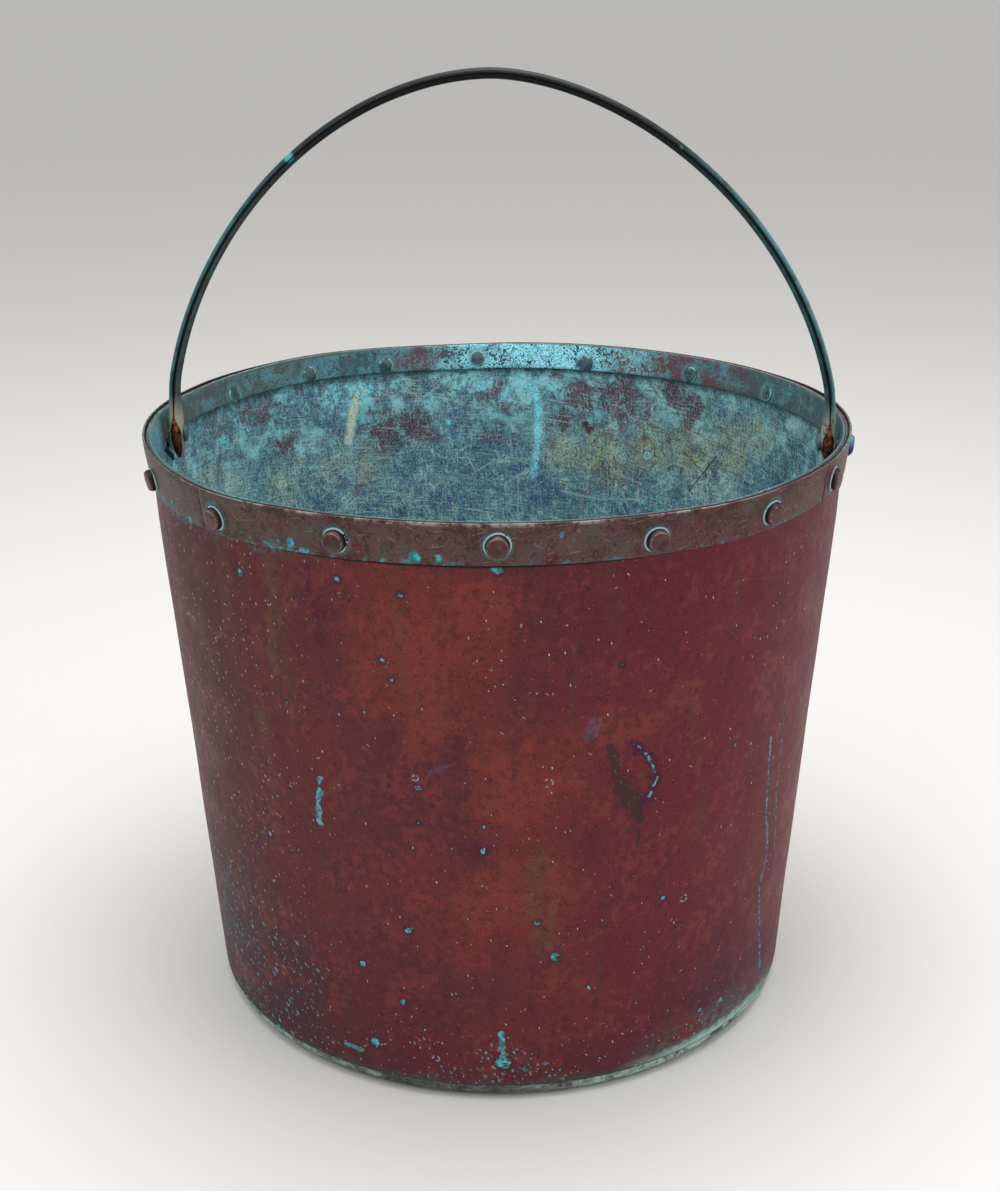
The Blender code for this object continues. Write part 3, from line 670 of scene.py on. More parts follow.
def paintInside():
    p = Paint("insideCopper", insideMarks, onInside)
    broad = p.cloud(0.060, 2.0, 0.6, 0.4)
    middle = p.cloud(0.020, 3.0, 0.65, 0.4)
    sway = middle - 0.5
    speck = p.cloud(0.0050, 3.0, 0.85)
    jag = speck - 0.5
    grain = p.cloud(0.0012, 1.0, 0.6)
    grit = grain - 0.5
    runs = p.cloud(0.009, 3.0, 0.65, 0.2, p.stretched((1, 1, 0.14), 0.2))
    ragged = sway * 0.060 + jag * 0.024

    # navy underneath, teal over it, and pale sage crumbs on top
    mottle = speck + sway * 0.45 + grit * 0.45
    p.coat = p.blend(p.smooth(mottle, 0.36, 0.52), (0.036, 0.095, 0.165), (0.120, 0.290, 0.330))
    pale = p.smooth(mottle + (runs - 0.5) * 0.5 + (broad - 0.5) * 0.4, 0.53, 0.66)
    p.lay(pale * 0.85, (0.400, 0.570, 0.480))
    sage = p.smooth(p.spots("sage") + ragged, 0.012, -0.010)
    p.lay(sage * p.smooth(mottle, 0.40, 0.56) * 0.8, (0.440, 0.560, 0.420))
    yellow = p.smooth(p.spots("yellow") + ragged, 0.012, -0.010)
    p.lay(yellow * p.smooth(mottle, 0.38, 0.54) * 0.85, (0.400, 0.440, 0.230))
    p.lay(yellow * 0.30, (0.170, 0.220, 0.140))
    navy = p.smooth(p.spots("navy") + ragged, 0.010, -0.010)
    p.lay(navy * p.smooth(mottle, 0.60, 0.44) * 0.75, (0.070, 0.130, 0.260))
    teal = p.smooth(p.spots("teal") + ragged, 0.010, -0.010)
    p.lay(teal * 0.6, (0.038, 0.115, 0.120))
    brown = p.smooth(p.spots("brown") + ragged, 0.006, -0.008)
    p.lay(brown * p.smooth(mottle, 0.64, 0.46) * 0.8, (0.120, 0.085, 0.090))
    maroon = p.smooth(p.spots("maroon") + ragged * 1.1, 0.006, -0.008)
    stray = p.smooth(p.cloud(0.040, 3.0, 0.7, 0.6, p.stretched((1, 1, 1), 2.3)), 0.59, 0.66) * 0.6
    veiled = maroon * p.smooth(mottle, 0.70, 0.54) | stray * p.smooth(mottle, 0.62, 0.46)
    p.lay(veiled * 0.80, (0.145, 0.060, 0.085))

    # straight strokes in every direction, light and dark
    light = p.flicks(9, 0.100, 0.0048, 0.65, 0.14) | p.flicks(-32, 0.085, 0.0046, 0.55, 0.13, 3.7)
    light = light | p.flicks(62, 0.070, 0.0044, 0.45, 0.13, 8.9)
    dark = p.flicks(-8, 0.110, 0.0046, 0.50, 0.13, 5.1) | p.flicks(48, 0.080, 0.0046, 0.55, 0.13, 1.3)
    streaks = p.brushed(6, 0.016, 0.0013) + sway * 0.3
    upright = p.brushed(84, 0.010, 0.0015, 2.0, 5.5) + sway * 0.3
    p.lay(p.smooth(streaks | upright, 0.58, 0.70) * 0.45, (0.420, 0.620, 0.600))
    p.lay(p.smooth(streaks & upright, 0.42, 0.32) * 0.55, (0.025, 0.060, 0.100))
    p.lay(dark * 0.60, (0.025, 0.050, 0.080))
    p.lay(light * p.smooth(grain, 0.30, 0.55) * 0.70, (0.480, 0.660, 0.620))
    p.lay(p.smooth(grain + jag * 0.6, 0.55, 0.67) * 0.85, (0.014, 0.038, 0.066))
    p.lay(p.smooth(grain + jag * 0.4, 0.42, 0.30) * 0.45, (0.440, 0.660, 0.640))

    wild = jag * 0.006
    drip = p.smooth(p.strokes("cyanDrip", 2.4) + wild * 1.8, 0.0016, -0.0012)
    bright = p.smooth(p.spots("cyan") + ragged * 0.16, 0.0010, -0.0016)
    crust = drip * p.smooth(runs + speck, 0.84, 0.98) | bright * p.smooth(speck, 0.38, 0.50) * 0.9
    ringed = p.smooth(abs(p.spots("ring") + wild * 0.3), 0.0008, 0.0002)
    crumbs = p.dots(0.011, 0.30, 0.20, p.stretched((1, 1, 0.7), 0.7)) * p.smooth(speck, 0.40, 0.55)
    high = p.smooth(p.z, rimHeight - 0.075, rimHeight - 0.020) * p.smooth(middle + speck, 1.02, 1.16)
    high = high * p.smooth(p.x, 0.10, 0.00, 0.35, 1.0)
    crust = crust | ringed | crumbs * 0.8 | high * 0.8
    patchy = p.smooth(grain + sway * 0.6, 0.42, 0.60)
    tint = p.blend(patchy, (0.080, 0.430, 0.540), (0.300, 0.760, 0.840))
    cream = p.smooth(p.strokes("creamDrip", 2.8) + wild, 0.0016, -0.0012)
    cream = cream * p.smooth(runs + grit, 0.36, 0.54)
    green = p.smooth(p.strokes("greenDrip", 0.8) + wild, 0.0014, -0.0008)
    lines = p.smooth(p.strokes("lowArc", 0.3) + wild * 0.3, 0.0010, -0.0002)
    lines = lines | p.smooth(p.strokes("seam", 0.2) + wild * 0.2, 0.0008, -0.0001)
    cuts = p.strokes("cuts", 0.3)
    red = p.smooth(p.spots("red") + wild, 0.0008, -0.0012)
    p.lay(p.smooth(cuts + wild * 0.2, 0.0006, 0.0) * 0.7, (0.020, 0.030, 0.030))
    p.lay(green * 0.6, (0.050, 0.230, 0.130))
    p.lay(lines * 0.7, (0.300, 0.420, 0.420))
    p.lay(crust, tint)
    p.lay(cream * 0.85, (0.560, 0.640, 0.480))
    p.lay(red * 0.9, (0.080, 0.008, 0.016))
    # near black ragged strokes on the inside below the left eye, over and around the worn hole
    blackBelowEye = p.smooth(p.strokes("earHole", 1.8) + wild, 0.0008, -0.0004)
    p.lay(blackBelowEye, (0.003, 0.003, 0.003))
    # painted shadow on the wall just below the inner band's lower edge
    underBand = p.smooth(p.z, rimHeight - 0.0215, rimHeight - 0.0175)
    p.lay(underBand * 0.45, (0.020, 0.045, 0.055))

    roughness = 0.62 + sway * 0.20 + crust * 0.18 - maroon * 0.12
    height = speck * 0.35 + grain * 0.20 + middle * 0.2 + crumbs * 0.4
    return p.finish(p.smooth(maroon, 0.0, 1.0, 0.05, 0.25), roughness, height, 0.00035, 0.55)


outsideCopper = paintOutside()
insideCopper = paintInside()
print("wall coats are mixed")


# The wall, with the worn hole under the left eye

wornHole = {
    "y": -0.0030,
    "belowRim": 0.0205,
    "reach": (0.004, 0.005),
    "outline": [
        (-5.0, -0.4), (-3.4, 1.4), (-1.2, 0.9), (1.0, 2.1), (3.6, 1.1), (4.6, -0.8), (1.8, -1.9), (-2.2, -1.5)
    ],
}


def cutAway(piece, cutter):
    # takes the cutter out of the piece for good, and leaves no modifier behind
    cut = piece.modifiers.new("cut", "BOOLEAN")
    cut.operation = "DIFFERENCE"
    cut.solver = "EXACT"
    cut.object = cutter
    graph = bpy.context.evaluated_depsgraph_get()
    done = bpy.data.meshes.new_from_object(piece.evaluated_get(graph))
    piece.modifiers.clear()
    piece.data = done
    bpy.data.objects.remove(cutter, do_unlink=True)


def cutterFrom(mesh, name):
    bmesh.ops.recalc_face_normals(mesh, faces=mesh.faces)
    return linked(name, meshData(mesh, name))


def makeWall():
    mesh = bmesh.new()
    foot = footTop + bucket["gap"]
    thick = bucket["wall"]
    outer = [(skinRadius(height), height) for height in (foot, neckHeight, rimHeight)]
    inner = [(radius - thick, height) for radius, height in reversed(outer)]
    drawOutline(mesh, outer + inner, (0, 2, 3, 5), bucket["wallRounding"], bucket["wallRow"])
    spinOutline(mesh, 0, 360)
    coatInside(mesh)
    wearIn(mesh)
    wall = makePiece("wallSheet", mesh, [outsideCopper, insideCopper], "bucket", ["wall"])
    hole = bmesh.new()
    level = rimHeight - wornHole["belowRim"]
    outside = -skinRadius(level) - wornHole["reach"][0]
    corners = []
    for y, z in wornHole["outline"]:
        corners.append(hole.verts.new((outside, wornHole["y"] + y / 1000, level + z / 1000)))
    face = hole.faces.new(corners)
    pushed = bmesh.ops.extrude_face_region(hole, geom=[face])["geom"]
    inside = [part for part in pushed if isinstance(part, bmesh.types.BMVert)]
    bmesh.ops.translate(hole, verts=inside, vec=(sum(wornHole["reach"]), 0, 0))
    cutAway(wall, cutterFrom(hole, "wornHole"))


makeWall()
print("wall is spun")


# The dished base

base = {"thick": 0.0015, "edgeHeight": 0.0220, "roundSteps": 8, "flats": 14}


def paintFoot():
    p = Paint("footCopper")
    middle = p.cloud(0.018, 3.0, 0.6, 0.3)
    sway = middle - 0.5
    fine = p.cloud(0.0040, 3.0, 0.65)
    jag = fine - 0.5
    grain = p.cloud(0.0012, 1.0, 0.5)
    p.coat = p.blend(p.smooth(middle, 0.36, 0.62), (0.052, 0.052, 0.042), (0.100, 0.098, 0.078))
    rightSide = p.smooth(p.x + sway * 0.06, 0.010, 0.090)
    leftSide = p.smooth(p.x + sway * 0.06, -0.060, -0.120)
    leftSide = leftSide * p.smooth(p.z, 0.0030, 0.0052) * p.smooth(fine, 0.36, 0.50)
    crusted = rightSide * p.smooth(fine + middle, 0.82, 1.02) | leftSide
    crusted = crusted | p.smooth(fine + middle, 1.06, 1.20) * 0.6
    patchy = p.smooth(p.cloud(0.009, 2.0, 0.6), 0.42, 0.58)
    mint = p.blend(patchy, (0.200, 0.330, 0.290), (0.420, 0.560, 0.480))
    p.lay(crusted * 0.85, mint)
    p.lay(p.smooth(fine, 0.54, 0.70) * 0.6, (0.034, 0.040, 0.034))
    p.lay(p.smooth(fine, 0.40, 0.28) * 0.5, (0.060, 0.190, 0.200))
    p.lay(p.smooth(grain, 0.60, 0.72) * 0.35, (0.480, 0.520, 0.460))
    # painted contact shade along the bottom edge of the foot, where it meets the floor
    p.lay(p.smooth(p.z, 0.0028, 0.0006) * 0.85, (0.030, 0.027, 0.023))
    height = fine * 0.5 + grain * 0.3 + middle * 0.3
    return p.finish(0.0, 0.72 + jag * 0.3, height, 0.0004, 0.6)


footCopper = paintFoot()


def arcPoints(middle, reach, last, steps):
    points = []
    for step in range(steps + 1):
        turn = last * step / steps
        points.append((middle + reach * math.sin(turn), bucket["footRound"] - reach * math.cos(turn)))
    return points


def makeBase():
    mesh = bmesh.new()
    rounding = bucket["footRound"]
    middle = skinRadius(footTop) - rounding * math.cos(footLean)
    stepIn = bucket["wall"] + bucket["gap"]
    inset = stepIn + base["thick"]
    edge = base["edgeHeight"]
    outer = arcPoints(middle, rounding, math.pi / 2 - footLean, base["roundSteps"])
    outer += [(skinRadius(footTop) - stepIn, footTop), (skinRadius(edge) - stepIn, edge)]
    bend = math.acos((rounding - footTop + base["thick"]) / (rounding - base["thick"]))
    inner = arcPoints(middle, rounding - base["thick"], bend, base["roundSteps"])
    inner += [(skinRadius(footTop) - inset, footTop), (skinRadius(edge) - inset, edge)]
    flats = base["flats"]
    line = [(middle * share / flats, 0.0) for share in range(flats)] + outer
    line += inner[::-1] + [(middle * share / flats, base["thick"]) for share in reversed(range(flats))]
    verts = [mesh.verts.new((0, -radius, height)) for radius, height in line]
    edges = [mesh.edges.new(pair) for pair in zip(verts, verts[1:])]
    spinFully(mesh, verts + edges, bucket["stepsRound"] // 2)
    for face in mesh.faces:
        at = face.calc_center_median()
        isInner = face.normal.z > 0.5 or face.normal.dot(outward(angleOf(at))) < -0.2
        face.material_index = 1 if isInner else 0
    for vert in mesh.verts:
        # the floor of the bucket is a little drummed, and its underside stays flat enough to stand on
        radius = math.hypot(vert.co.x, vert.co.y)
        if vert.co.z > 0.0010 and radius < middle:
            vert.co.z += noise.noise(vert.co / 0.05) * 0.0002 * between(middle - radius, 0, 0.03)
        vert.co += settle(vert.co)
    makePiece("basePan", mesh, [footCopper, insideCopper], "bucket", ["base"])


makeBase()
print("base is spun")


# Bands and ear straps

strips = {
    "rim_band_front": {"start": -43.0, "end": 64.5, "heights": (0.0225, 0.0207), "rise": 0.0},
    "rim_band_back": {"start": 128.5, "end": 229.0, "heights": (0.0215, 0.0215), "rise": 0.0},
    "ear_strap_left": {"start": -131.0, "end": -43.0, "heights": (0.0245, 0.0226), "rise": 0.0012},
    "ear_strap_right": {"start": 64.5, "end": 128.5, "heights": (0.0200, 0.0200), "rise": 0.0012},
}
stripSettings = {
    "joint": 0.0006,
    "innerJoint": 0.0010,
    "innerStart": -87.5,
    "innerHeights": (0.0195, 0.0150),
    "rounding": 0.00035,
    "row": 0.003,
    "riseReach": 24.0,
}

def onInnerBand(angle, height):
    return onMetal(angle, height, -bucket["wall"] - bucket["gap"] - bucket["band"])


bandMarks = {
    "crust": [
        (-24.8, 321.0, 3.0), (-27.0, 320.6, 2.2), (-5.9, 320.6, 3.6), (-2.6, 320.0, 2.6), (14.0, 332.3, 2.4),
        (-33.9, 326.0, 1.1), (-53.9, 320.3, 2.0), (-52.0, 324.5, 1.2), (-49.5, 318.0, 1.4),
        (-36.0, 319.6, 1.4), (-78.0, 322.0, 2.2), (-74.5, 321.0, 1.6),
    ],
    "wisps": [
        ((-27.6, 327), (-25.5, 326)), ((-27.4, 327), (-27.0, 322)), ((-4.6, 325), (-3.2, 321)),
        ((-45, 333), (-41.5, 322)),
    ],
    "streak": [((-81.5, 334), (-81.5, 322))],
}


def paintBand(name, inner):
    p = Paint(name, bandMarks, onInnerBand if inner else onMetal)
    broad = p.cloud(0.060, 2.0, 0.6, 0.4)
    middle = p.cloud(0.017, 3.0, 0.6, 0.3)
    sway = middle - 0.5
    fine = p.cloud(0.0042, 3.0, 0.70)
    jag = fine - 0.5
    grain = p.cloud(0.0012, 1.0, 0.5)
    grit = grain - 0.5
    if inner:
        mottle = fine + sway * 0.7 + grit * 0.5
        p.coat = p.blend(p.smooth(mottle, 0.40, 0.60), (0.036, 0.080, 0.100), (0.080, 0.250, 0.290))
        middlePart = p.smooth(abs(p.x - 0.01), 0.100, 0.030)
        p.lay(middlePart * p.smooth(mottle + grit * 0.6, 0.34, 0.54), (0.320, 0.820, 0.960))
        maroon = p.smooth(p.x + (broad - 0.5) * 0.15 + sway * 0.08, 0.045, 0.075)
        maroon = maroon | p.smooth(abs(p.x + 0.075 + sway * 0.05), 0.020, 0.008) * 0.7
        p.lay(maroon * p.smooth(mottle, 0.62, 0.44) * 0.9, (0.115, 0.048, 0.056))
        farRight = p.smooth(p.x + sway * 0.03, 0.120, 0.160)
        p.lay(farRight * p.smooth(mottle, 0.66, 0.44) * 0.85, (0.038, 0.090, 0.095))
        farLeft = p.smooth(p.x + sway * 0.04, -0.110, -0.150)
        p.lay(farLeft * p.smooth(mottle, 0.66, 0.46) * 0.80, (0.075, 0.085, 0.080))
        # the inner band in front of the left ear is painted light teal: its own teal with a painted highlight
        earFrontTealAndSheen = p.smooth(p.fromPoint(onInnerBand(-78.5, 0.330)), 0.028, 0.012)
        p.lay(earFrontTealAndSheen * 0.85, (0.110, 0.300, 0.350))
        # a painted vertical highlight on the inner band in front of the left ear
        streak = p.smooth(p.strokes("streak", 0.7) + jag * 0.003, 0.0008, -0.0004)
        p.lay(streak * 0.8, (0.360, 0.540, 0.540))
    else:
        p.coat = p.blend(p.smooth(broad, 0.36, 0.62), (0.085, 0.044, 0.044), (0.112, 0.056, 0.050))
        right = p.smooth(p.x + sway * 0.08, 0.050, 0.120)
        p.lay(right * 0.75, (0.105, 0.032, 0.032))
        left = p.smooth(p.x + sway * 0.08, -0.075, -0.150)
        p.lay(left * 0.65, (0.070, 0.056, 0.050))
        rusty = p.smooth(p.cloud(0.011, 3.0, 0.6, 0.3, p.stretched((1, 1, 0.6), 3.1)), 0.56, 0.66)
        p.lay(rusty * 0.90, (0.100, 0.020, 0.018))
        p.lay(p.smooth(middle + jag * 0.6, 0.52, 0.64) * 0.65, (0.075, 0.080, 0.070))
        p.lay(p.smooth(middle + jag * 0.8, 0.46, 0.36) * 0.75, (0.042, 0.019, 0.020))
    p.lay(p.smooth(fine + grit * 0.5, 0.52, 0.66) * 0.65, (0.022, 0.017, 0.018))
    p.lay(p.smooth(grain, 0.60, 0.72) * 0.35, (0.230, 0.210, 0.190))
    lines = p.flicks(8, 0.030, 0.0030, 0.45, 0.16) | p.flicks(-30, 0.026, 0.0034, 0.35, 0.14, 2.3)
    p.lay(lines * 0.35, (0.250, 0.240, 0.220))

    # green creeping out from under the rivets, and the blobs along the lower edge
    sunk = rivet["stack"] if inner else 0
    around = [p.fromPoint(seat - axis * sunk) for seat, axis in seats.values()]
    around = functools.reduce(operator.and_, around)
    halo = p.smooth(around + jag * 0.003 + sway * 0.004, 0.0086, 0.0066)
    specks = p.dots(0.0065, 0.16, 0.18) * p.smooth(middle, 0.44, 0.56)
    lowEdge = p.smooth(p.z, rimHeight - 0.0180, rimHeight - 0.0212) * p.smooth(fine + middle, 1.00, 1.14)
    lowEdge = lowEdge * p.smooth(p.x, 0.04, -0.05, 0.30, 1.0)
    patchy = p.smooth(p.cloud(0.0028, 1.0, 0.5), 0.42, 0.58)
    tint = p.blend(patchy, (0.020, 0.170, 0.200), (0.050, 0.380, 0.460))
    if inner:
        green = (specks | lowEdge) * 0.6 | halo * 0.35
        p.lay(p.smooth(p.z, rimHeight - 0.0135, rimHeight - 0.0160) * 0.3, (0.030, 0.070, 0.075))
        p.lay(p.smooth(p.z, rimHeight - 0.0008, rimHeight - 0.0002) * 0.85, (0.062, 0.085, 0.075))
    else:
        wild = jag * 0.0040
        crust = p.smooth(p.spots("crust") + wild, 0.0003, -0.0007)
        wisps = p.smooth(p.strokes("wisps", 0.4) + wild, 0.0004, -0.0004)
        green = specks * 0.5 | crust | wisps * 0.9 | lowEdge * 0.8 | halo * 0.35
        # the rim's top is grey green and painted bright at the front as a highlight, and stays brown and
        # green at the sides
        rimTopAndHighlight = p.smooth(p.z, rimHeight - 0.0018, rimHeight - 0.0006)
        rimTopAndHighlight = rimTopAndHighlight * p.smooth(middle + jag, 0.40, 0.60)
        front = p.smooth(p.y, -0.120, -0.165)
        p.lay(rimTopAndHighlight * 0.7, (0.090, 0.085, 0.068))
        # painted highlight along the rounded top edge of the band at the front
        p.lay(rimTopAndHighlight * front * 0.75, (0.300, 0.270, 0.280))
        ends = p.smooth(abs(p.x), 0.180, 0.192) * p.smooth(p.z, rimHeight - 0.004, rimHeight - 0.001)
        p.lay(ends * p.smooth(fine, 0.42, 0.54) * 0.6, (0.130, 0.240, 0.210))
    tint = p.blend(halo * 0.7, tint, (0.110, 0.270, 0.270))
    p.lay(green, tint)
    metallic = p.smooth(green, 0.0, 1.0, 0.10 if inner else 0.35, 0.0)
    height = fine * 0.30 + grain * 0.15 + middle * 0.25 + specks * 0.4
    return p.finish(metallic, 0.48 + sway * 0.25 + green * 0.25, height, 0.00035, 0.6)


# near black for the backs of the bands and straps: painted shade, so that the worn hole under the left eye
# shows dark
def paintShadedBacks():
    p = Paint("hiddenCopper")
    fine = p.cloud(0.004, 2.0, 0.6)
    p.coat = p.blend(p.smooth(fine, 0.4, 0.6), (0.004, 0.004, 0.004), (0.012, 0.010, 0.009))
    return p.finish(0.0, 0.9)


bandCopper = paintBand("bandCopper", False)
innerBandCopper = paintBand("innerBandCopper", True)
hiddenCopper = paintShadedBacks()


def makeStrip(name, start, end, heights, rise, nearest, joint, coats):
    mesh = bmesh.new()
    thick = bucket["band"]
    low = rimHeight - heights[0]
    middle = max(neckHeight, low + 0.001)
    outer = [(skinRadius(height) + nearest + thick, height) for height in (low, middle, rimHeight)]
    inner = [(radius - thick, height) for radius, height in reversed(outer)]
    drawOutline(mesh, outer + inner, (0, 2, 3, 5), stripSettings["rounding"], stripSettings["row"])
    half = math.degrees(joint / 2 / bucket["rimRadius"])
    spinOutline(mesh, start + half, end - half)
    span = end - start
    for vert in mesh.verts:
        # the lower edge runs out of level from one end of the strip to the other
        along = ((angleOf(vert.co) - start) % 360) / span
        drop = (heights[0] - heights[1]) * min(1, along) * between(rimHeight - vert.co.z, 0.002, heights[0])
        vert.co.z += drop
        vert.co.z += noise.noise(vert.co / 0.03) * 0.00025 * between(rimHeight - vert.co.z, 0.010, heights[0])
        fromEnd = min(along, 1 - along) * span / stripSettings["riseReach"]
        vert.co.z += rise * between(fromEnd, 0, 1) * between(rimHeight - vert.co.z, 0.003, 0.0)
    coatInside(mesh)
    wearIn(mesh)
    return makePiece(name + "_sheet", mesh, coats, "bucket", [name])


for name, strip in strips.items():
    makeStrip(
        name,
        strip["start"],
        strip["end"],
        strip["heights"],
        strip["rise"],
        bucket["gap"],
        stripSettings["joint"],
        [bandCopper, hiddenCopper],
    )
makeStrip(
    "inner_band",
    stripSettings["innerStart"],
    stripSettings["innerStart"] + 360,
    stripSettings["innerHeights"],
    0.0,
    -bucket["wall"] - bucket["gap"] - bucket["band"],
    stripSettings["innerJoint"],
    [innerBandCopper, innerBandCopper],
)
print("bands and straps are bent")


# Rivets of the rim

def paintRivet():
    p = Paint("rivetCopper")
    own = p.ownPlace()
    up = p.parts(own)[2]
    away = Value(p, p.vector("LENGTH", p.vector("MULTIPLY", own, (1, 1, 0))))
    middle = p.cloud(0.007, 2.0, 0.6, 0.3)
    sway = middle - 0.5
    fine = p.cloud(0.0016, 2.0, 0.65)
    jag = fine - 0.5
    side = p.smooth(up + jag * 0.0008, rivet["headHeight"] * 0.90, rivet["headHeight"] * 0.55)
    p.coat = p.blend(p.smooth(middle, 0.38, 0.60), (0.060, 0.028, 0.032), (0.105, 0.050, 0.046))
    p.lay(p.smooth(fine, 0.52, 0.68) * 0.6, (0.036, 0.020, 0.022))
    # painted highlight on the bevel round the edge of each head's face
    shoulderHighlight = p.smooth(abs(away - rivet["faceRadius"]), 0.0005, 0.0001) * p.smooth(up, 0.0030, 0.0036)
    p.lay(side * 0.92, (0.016, 0.010, 0.013))
    p.lay(shoulderHighlight * p.smooth(fine, 0.38, 0.56) * 0.5, (0.330, 0.240, 0.220))
    # a pale blue ring at the foot of each head, partly verdigris and partly a painted highlight on the
    # collar's edge
    ringed = p.smooth(away, rivet["headRadius"] - 0.0002, rivet["headRadius"])
    ringed = ringed * p.smooth(up + jag * 0.0005, 0.0009, 0.0006) * p.smooth(middle + fine, 0.76, 0.92)
    p.lay(ringed, (0.320, 0.500, 0.520))

    # the head of the right pivot is painted blue: navy below, with a painted light blue highlight on its
    # upper half
    blue = p.smooth(p.x, 0.150, 0.190) * p.smooth(abs(p.y), 0.0085, 0.0070)
    litUpperHalf = p.smooth(p.z + jag * 0.004, pivotHeight - 0.002, pivotHeight + 0.004)
    p.lay(blue * 0.9, p.blend(litUpperHalf, (0.014, 0.028, 0.080), (0.110, 0.250, 0.360)))

    # the tails inside take the colour of the inner band, with a pale crescent on the rim of each
    tail = p.smooth(up, -0.0040, -0.0046)
    inside = p.blend(p.smooth(middle, 0.40, 0.58), (0.026, 0.075, 0.088), (0.075, 0.130, 0.130))
    inside = p.blend(p.smooth(fine, 0.50, 0.64) * 0.6, inside, (0.020, 0.030, 0.034))
    crescent = p.smooth(away, rivet["tailRadius"] - 0.0010, rivet["tailRadius"] - 0.0004)
    crescent = crescent * p.smooth(middle, 0.46, 0.56) * p.smooth(abs(p.y), 0.010, 0.020)
    inside = p.blend(crescent * 0.8, inside, (0.240, 0.470, 0.500))
    p.lay(tail, inside)
    metallic = p.smooth(ringed | tail, 0.0, 1.0, 0.45, 0.05)
    height = fine * 0.5 + middle * 0.5
    return p.finish(metallic, 0.42 + ringed * 0.3 + sway * 0.2, height, 0.0003, 0.5)


rivetCopper = paintRivet()


def keepOwnPlaces(mesh):
    # each point remembers where it was before the piece is placed, for the paint
    layer = mesh.verts.layers.float_vector.new("own")
    for vert in mesh.verts:
        vert[layer] = vert.co


def turnProfile(points, bevels, sides):
    # a solid turned about Z from an outline that starts and ends on the axis
    mesh = bmesh.new()
    verts = [mesh.verts.new((radius, 0, height)) for radius, height in points]
    edges = [mesh.edges.new(pair) for pair in zip(verts, verts[1:])]
    spinFully(mesh, verts + edges, sides)
    for low, high, radius, size in bevels:
        ring = set()
        for vert in mesh.verts:
            if low < vert.co.z < high and abs(vert.co.xy.length - radius) < 0.0001:
                ring.add(vert)
        bevelled(mesh, [edge for edge in mesh.edges if ring.issuperset(edge.verts)], size, 3)
    return mesh


def hammer(mesh, seed, amount, above):
    # no two heads were struck alike
    dice = random.Random(seed)
    tilt = Vector((dice.uniform(-1, 1), dice.uniform(-1, 1), 0)) * 0.045
    shift = Vector((dice.random(), dice.random(), dice.random())) * 9
    for vert in mesh.verts:
        if vert.co.z > above:
            vert.co.z += tilt.x * vert.co.x + tilt.y * vert.co.y
            flat = Vector((vert.co.x, vert.co.y, 0))
            vert.co += flat * noise.noise(vert.co / 0.006 + shift) * amount
            vert.co.z += noise.noise(vert.co / 0.003 + shift) * 0.00008


def placeMesh(mesh, seat, axis):
    turn = axis.to_track_quat("Z", "Y").to_matrix().to_4x4()
    mesh.transform(Matrix.Translation(seat + settle(seat)) @ turn)


def makeRimRivets():
    gap = rivet["headGap"]
    top = rivet["headHeight"] + gap
    tail = -rivet["stack"] - gap
    for number, (name, (seat, axis)) in enumerate(seats.items(), start=1):
        points = [
            (0, top + 0.0001),
            (rivet["faceRadius"] * 0.5, top + 0.00005),
            (rivet["faceRadius"], top - 0.0001),
            (rivet["headRadius"], gap + rivet["headHeight"] * 0.55),
            (rivet["headRadius"], gap + rivet["collarHeight"]),
            (rivet["collarRadius"], gap * 0.7 + rivet["collarHeight"] * 0.4),
            (rivet["collarRadius"], gap * 0.7),
            (rivet["shankRadius"], gap * 0.7),
            (rivet["shankRadius"], tail),
            (rivet["tailRadius"], tail),
            (rivet["tailRadius"], tail - rivet["tailHeight"] * 0.45),
            (rivet["tailRadius"] * 0.7, tail - rivet["tailHeight"]),
            (0, tail - rivet["tailHeight"]),
        ]
        bevels = [
            (top - 0.0003, top + 0.001, rivet["faceRadius"], 0.0004),
            (0.002, 0.003, rivet["headRadius"], 0.0004),
        ]
        mesh = turnProfile(points, bevels, rivet["sides"])
        keepOwnPlaces(mesh)
        hammer(mesh, number, 0.05, gap * 0.5)
        placeMesh(mesh, seat, axis)
        makePiece(f"rimRivet{number:02d}", mesh, [rivetCopper], "bucket", [name], 40)


makeRimRivets()
print("rim rivets are set")


# Pivot rivets, and the bail that swings on them

pivot = {
    "headRadius": 0.0062,
    "faceRadius": 0.0050,
    "headHeight": 0.0037,
    "shankRadius": 0.0030,
    "tailRadius": 0.0046,
    "tailHeight": 0.0011,
}
bail = {
    "rise": 0.2005,
    "fullness": 1.82,
    "set": 0.0019,
    "spread": 0.0029,
    "spreadHeight": 0.0360,
    "radius": 0.0030,
    "sheet": 0.0005,
    "slit": 0.0007,
    "leafThick": 0.0044,
    "leafWidth": 0.0075,
    "leftTip": 0.0150,
    "rightTip": 0.0098,
    "leafFade": 0.0260,
    "leftLoose": 0.0004,
    "looseHeight": 0.1200,
    "leafOpening": 52.0,
    "openHeight": 0.0130,
    "tipThinning": 0.78,
    "tipThinningPower": 2.2,
    "tipNarrowing": 0.82,
    "tipNarrowingPower": 1.7,
    "coreThick": 0.0031,
    "sideGap": 0.0009,
    "eyeGap": 0.0004,
    "eyeSides": 32,
    "eyeReach": 0.016,
    "steps": 260,
    "legSteps": 44,
    "sides": 22,
}
earFace = skinRadius(pivotHeight) - earPull(90, pivotHeight)
eyeX = earFace - bucket["wall"] - bucket["gap"] - bucket["band"] - bail["sideGap"] - bail["leafThick"]


